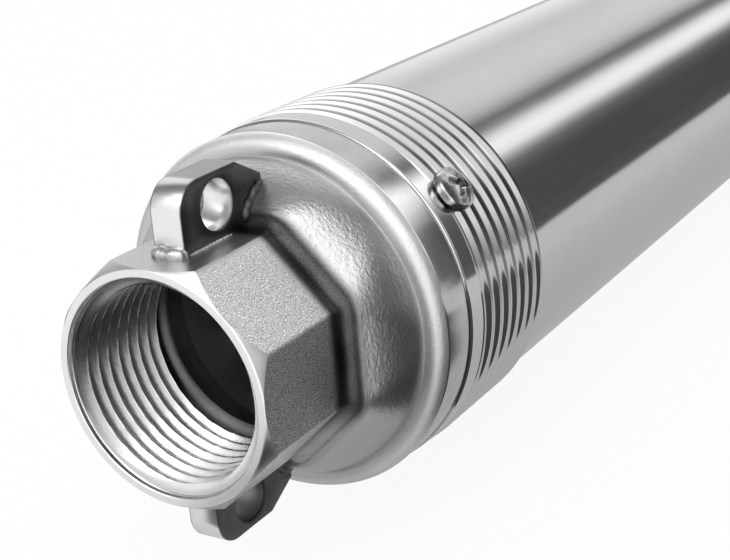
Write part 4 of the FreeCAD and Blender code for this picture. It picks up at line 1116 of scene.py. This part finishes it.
# Motor: tube and end bells, turned
MOTOR_BORE_R = 28.35
BELL_SPIGOT_R = 28.3
CAN_BORE_R = 15.25
BELL_SPIGOT = 12.0
PILOT_R = 13.9
PILOT_X = 297.6
SEAL_R = 11.5
HUB_R = 7.3
HUB_WALL = 3.0
HUB_X = MOTOR_X + 5
SEAL_X = MOTOR_X + 1
END_CHAMFER = 0.9
END_WALL = 4.0
END_HOLE_R = 3.0
DIAPHRAGM_R = 16.95
JOURNAL_BORE_R = CAN_BORE_R - 5
JOURNAL_X = MOTOR_TUBE_END_X - 4
ROLL_DEPTH, ROLL_HALF, ROLL_INSET = 0.45, 1.6, 6.0
CORNER_CUT = 0.18
# Marks a corner that gets a small chamfer
SOFT = True


def turned_shell(name, outline, look, node):
    """Closed shell turned from (x, radius) points, with small chamfers at the soft ones."""
    points = []
    for k, (x, r, *soft) in enumerate(outline):
        if not soft:
            points.append((x, r))
            continue
        for near in (outline[k - 1], outline[(k + 1) % len(outline)]):
            dx, dr = near[0] - x, near[1] - r
            share = CORNER_CUT / math.hypot(dx, dr)
            points.append((x + dx * share, r + dr * share))
    angles = np.linspace(0, TURN, 192, endpoint=False)
    obj = lattice(name, [ring(x, r, angles) for x, r in points], [look], 30.0)
    set_piece(obj, "housing", look, node)


def roll_groove(x):
    """Shallow rolled groove in the tube's outside."""
    return [(x + ROLL_HALF * t, TUBE_R - ROLL_DEPTH * math.cos(math.pi / 2 * t) ** 2)
            for t in np.linspace(-1, 1, 13)]


def turned_groove(x, ramp, width, depth):
    """Flat groove in a bell's outside, between soft corners."""
    return [(x, TUBE_R, SOFT), (x + ramp, TUBE_R - depth), (x + width - ramp, TUBE_R - depth),
            (x + width, TUBE_R, SOFT)]


bell_back_x = MOTOR_TUBE_X + BELL_SPIGOT
bell_step_x = MOTOR_TUBE_X + BELL_SPIGOT / 2
end_front_x = MOTOR_TUBE_END_X - BELL_SPIGOT / 2
turned_shell("motor_tube_rolled", [
    (MOTOR_TUBE_X, MOTOR_BORE_R), (MOTOR_TUBE_X, TUBE_R, SOFT),
    *roll_groove(MOTOR_TUBE_X + ROLL_INSET), *roll_groove(MOTOR_TUBE_END_X - ROLL_INSET),
    (MOTOR_TUBE_END_X, TUBE_R, SOFT), (MOTOR_TUBE_END_X, MOTOR_BORE_R)],
    "polished_steel", "motor_tube")
turned_shell("upper_end_bell_turned", [
    (PILOT_X, SEAL_R), (PILOT_X, PILOT_R, SOFT), (MOTOR_X, PILOT_R), (MOTOR_X, TUBE_R, SOFT),
    *turned_groove(MOTOR_X + 4.2, ramp=0.2, width=1.2, depth=0.3), (MOTOR_TUBE_X, TUBE_R, SOFT),
    (MOTOR_TUBE_X, BELL_SPIGOT_R), (bell_step_x, BELL_SPIGOT_R), (bell_step_x, CAN_BORE_R),
    (bell_back_x, CAN_BORE_R), (bell_back_x, HUB_R + HUB_WALL), (HUB_X, HUB_R + HUB_WALL),
    (HUB_X, HUB_R), (SEAL_X, HUB_R), (SEAL_X, SEAL_R)],
    "bell_steel", "upper_end_bell")
turned_shell("lower_end_bell_turned", [
    (end_front_x, CAN_BORE_R), (end_front_x, BELL_SPIGOT_R), (MOTOR_TUBE_END_X, BELL_SPIGOT_R),
    (MOTOR_TUBE_END_X, TUBE_R, SOFT),
    *turned_groove(MOTOR_TUBE_END_X + 7.2, ramp=0.3, width=2.6, depth=0.4),
    (LOWER_END_X - END_CHAMFER, TUBE_R, SOFT), (LOWER_END_X, TUBE_R - END_CHAMFER),
    (LOWER_END_X, END_HOLE_R), (LOWER_END_X - END_WALL, END_HOLE_R),
    (LOWER_END_X - END_WALL, DIAPHRAGM_R), (MOTOR_TUBE_END_X, DIAPHRAGM_R),
    (MOTOR_TUBE_END_X, JOURNAL_BORE_R), (JOURNAL_X, JOURNAL_BORE_R)],
    "bell_steel", "lower_end_bell")


# Camera at the photograph's place, in metres and radians, with its lens in pixels
AZIMUTH, ELEVATION, ROLL = 0.56986976, 0.34544252, -0.08067999
CAMERA_PLACE = Vector((-0.14386, -0.12817, 0.08266))
LENS_PIXELS, PICTURE_WIDTH = 1463.0, 730
SENSOR = 36.0


def heading(azimuth, elevation):
    """Unit vector in a direction in radians."""
    level = math.cos(elevation)
    return Vector((level * math.cos(azimuth), level * math.sin(azimuth), math.sin(elevation)))


def photo_camera():
    """Camera with the photograph's place, turn and lens."""
    forward = heading(AZIMUTH, -ELEVATION)
    level = Vector((math.sin(AZIMUTH), -math.cos(AZIMUTH), 0))
    above = level.cross(forward)
    right = math.cos(ROLL) * level + math.sin(ROLL) * above
    up = -math.sin(ROLL) * level + math.cos(ROLL) * above
    data = bpy.data.cameras.new("photo_camera")
    data.sensor_fit = "HORIZONTAL"
    data.sensor_width = SENSOR
    data.lens = LENS_PIXELS / PICTURE_WIDTH * SENSOR
    data.clip_start = 0.01
    camera = add_object("photo_camera", data)
    basis = Matrix((right, up, -forward)).transposed().to_4x4()
    camera.matrix_world = Matrix.Translation(CAMERA_PLACE) @ basis
    bpy.context.scene.camera = camera


photo_camera()

FLOOR_DROP = 0.0001
CARD_DROP = 0.00005
FLOOR_REACH = 6.0
FLOOR = ((-FLOOR_REACH, -FLOOR_REACH), (FLOOR_REACH, -FLOOR_REACH), (FLOOR_REACH, FLOOR_REACH),
         (-FLOOR_REACH, FLOOR_REACH))
# Outlines of the dark card in metres, which paints shade into the floor's reflections near the pump's
# head and along its length
CARD_NEAR = ((-3.0, 0.0), (-0.06, 0.005), (-0.045, 0.018), (-0.012, 0.014), (0.0, -0.045),
             (0.035, -0.036), (0.05, -0.034), (0.09, -0.055), (0.134, -0.096), (0.165, -0.115),
             (0.175, -0.2), (0.15, -0.6), (0.3, -3.0), (-1.2, -3.0), (-0.3, -0.6),
             (-0.085, -0.19), (-0.02, -0.11), (0.0, -0.08), (0.008, -0.06), (0.0, -0.05),
             (-0.02, -0.045), (-0.1, -0.04), (-3.0, -0.3))
CARD_FAR = ((0.34, -0.206), (0.42, -0.22), (0.6, -0.212), (12.0, -0.2), (12.0, -9.0),
            (0.46, -0.33), (0.36, -0.26))


def stage_sheet(name, drop, outlines, material):
    """Flat sheet of the stage, a little under the pump."""
    z = cad_box[0][2] - drop
    mesh = bpy.data.meshes.new(name)
    points, faces = [], []
    for outline in outlines:
        faces.append(tuple(range(len(points), len(points) + len(outline))))
        points += [(x, y, z) for x, y in outline]
    mesh.from_pydata(points, [], faces)
    mesh.materials.append(material)
    sheet = add_object(name, mesh)
    return sheet


def pale_floor():
    """Material of the floor: white to the camera, and shaded zones in reflections."""
    glow_level, glow_share = 1.03, 0.88
    skin = Skin("pale_floor")
    skin.plain(0.86, 0.9)
    path = skin.add("ShaderNodeLightPath").socket.node
    shown = Wire(skin, path.outputs["Is Camera Ray"])
    seen = shown + Wire(skin, path.outputs["Is Glossy Ray"])
    x, y = skin.x, skin.y
    mirrored = skin.ease(x, -60.0, 45.0, 1.0, 0.50) + skin.ease(y, -20.0, -130.0, 0.0, 0.18) \
        + skin.ease(x, 25.0, -15.0, 0.0, 0.25) * skin.ease(y, -35.0, -55.0)
    mirrored = mirrored * (1 - skin.ease(x, 900.0, 1500.0, 0.0, 0.85) * skin.ease(y, 300.0, 0.0))
    glow = skin.add("ShaderNodeEmission", inputs={
        "Color": (1, 1, 1, 1), "Strength": shown * glow_level + (1 - shown) * mirrored})
    mix = skin.add("ShaderNodeMixShader", inputs={
        0: seen * glow_share, 1: Wire(skin, skin.shader.outputs[0]), 2: glow})
    skin.feed(skin.tree.nodes["Material Output"].inputs["Surface"], mix)
    return skin.material


def dark_card():
    """Dark card lying on the floor, seen only by reflections, where it paints shade into the floor's
    reflections.
    """
    skin = Skin("dark_card")
    skin.plain(0.05, 1.0)
    card = stage_sheet("dark_card", CARD_DROP, (CARD_NEAR[::-1], CARD_FAR[::-1]), skin.material)
    for ray in ("camera", "diffuse", "shadow", "transmission", "volume_scatter"):
        setattr(card, "visible_" + ray, False)


stage_sheet("studio_floor", FLOOR_DROP, (FLOOR,), pale_floor())
dark_card()

# Brightness of the surround in reflections, by the angle about the pump's axis, in zones along it
BEHIND_LEVELS = ((-180, 0.9), (-60, 0.3), (-20, 0.9), (0, 1.3), (55, 1.2), (80, 0.9), (100, 0.9),
                 (125, 1.1), (180, 1.0))
BEAD_LEVELS = ((-180, 0.6), (-20, 1.6), (0, 2.0), (30, 2.0), (55, 1.6), (70, 1.4), (90, 1.25),
               (125, 1.2), (180, 1.0))
BACK_LEVELS = ((-180, 0.6), (-20, 0.4), (0, 0.5), (15, 0.8), (28, 1.3), (50, 2.1), (90, 1.8),
               (108, 0.7), (130, 0.5), (180, 0.6))
SIDE_LEVELS = ((-180, 0.5), (-20, 0.10), (0, 0.10), (28, 0.10), (52, 0.18), (75, 0.34), (90, 0.42),
               (106, 0.32), (150, 0.28), (158, 0.55), (166, 0.26), (176, 0.22), (180, 0.5))
CREST_LEVELS = ((-180, 0.9), (0, 0.30), (31, 0.34), (42, 0.50), (52, 0.62), (63, 0.58), (80, 0.55),
                (97, 0.65), (113, 0.85), (130, 1.2), (146, 1.5), (180, 1.2))
FLANK_LEVELS = ((-180, 0.9), (0, 0.3), (10, 0.5), (22, 0.95), (60, 0.95), (80, 1.0), (95, 1.2),
                (113, 1.5), (130, 1.6), (150, 1.5), (180, 1.0))
MIDDLE_LEVELS = ((-180, 0.9), (-20, 0.50), (0, 0.50), (20, 0.45), (33, 0.6), (42, 1.4), (52, 2.2),
                 (62, 2.2), (72, 1.4), (84, 0.75), (110, 0.62), (146, 0.48), (180, 0.6))
COLLAR_LEVELS = ((-180, 0.9), (0, 0.12), (18, 0.13), (31, 0.20), (40, 0.80), (46, 1.2), (58, 1.6),
                 (66, 0.7), (71, 0.2), (80, 0.42), (93, 0.8), (137, 0.85), (178, 0.85))
AHEAD_LEVELS = ((-180, 0.9), (-20, 0.12), (0, 0.085), (27, 0.085), (34, 0.12), (40, 0.20),
                (45, 0.55), (50, 1.1), (57, 1.25), (63, 0.95), (69, 0.34), (75, 0.17), (82, 0.50),
                (88, 0.72), (96, 0.80), (110, 0.84), (137, 0.72), (165, 0.95), (180, 0.95))
LAST_LEVELS = ((-180, 0.12), (180, 0.12))
ZONES = ((-0.82, -0.72, BEAD_LEVELS), (-0.60, -0.48, BACK_LEVELS), (-0.38, -0.18, SIDE_LEVELS),
         (0.15, 0.26, CREST_LEVELS), (0.29, 0.35, FLANK_LEVELS), (0.68, 0.73, MIDDLE_LEVELS),
         (0.768, 0.780, COLLAR_LEVELS), (0.82, 0.845, AHEAD_LEVELS), (0.945, 0.97, LAST_LEVELS))


def studio_world():
    """White surround; glossy rays see a soft studio with a dark side."""
    diffuse_level = 0.75
    world = bpy.data.worlds.new("studio")
    bpy.context.scene.world = world
    world.use_nodes = True
    net = Net(world.node_tree)
    x, y, z = net.add("ShaderNodeTexCoord", out="Generated").split()
    around = net.math("ARCTAN2", z, y * -1.0) * (180 / math.pi)

    def level_ramp(levels):
        stops = [((degrees + 180) / 360, level) for degrees, level in levels]
        return net.add("ShaderNodeValToRGB", {"stops": stops}, {0: (around + 180) / 360})

    level = level_ramp(BEHIND_LEVELS)
    for start, end, levels in ZONES:
        level = net.mix(level, level_ramp(levels), net.ease(x, start, end))
    path = net.add("ShaderNodeLightPath").socket.node
    camera = Wire(net, path.outputs["Is Camera Ray"])
    plain = diffuse_level * (1 - camera) + camera
    background = world.node_tree.nodes["Background"].inputs
    net.feed(background["Color"], net.mix(net.vector(plain, plain, plain), level,
                                          Wire(net, path.outputs["Is Glossy Ray"])))
    net.feed(background["Strength"], 1.0)


studio_world()


def soft_lamp(name, azimuth, elevation, size, glow):
    """Area lamp aimed at the pump's head from a direction in degrees; size is in metres."""
    data = bpy.data.lights.new(name, "AREA")
    data.shape = "RECTANGLE"
    data.size, data.size_y = size
    data.energy = glow * math.pi * size[0] * size[1]
    lamp = add_object(name, data)
    target, distance = Vector((0.05, 0, 0)), 1.2
    way = heading(math.radians(azimuth), math.radians(elevation))
    lamp.location = target + way * distance
    lamp.rotation_euler = way.to_track_quat("Z", "Y").to_euler()


soft_lamp("key_lamp", 168, 40, (0.8, 0.6), 1.9)
soft_lamp("fill_lamp", -146, 58, (0.55, 0.45), 1.3)

bpy.context.scene.view_settings.view_transform = "Standard"
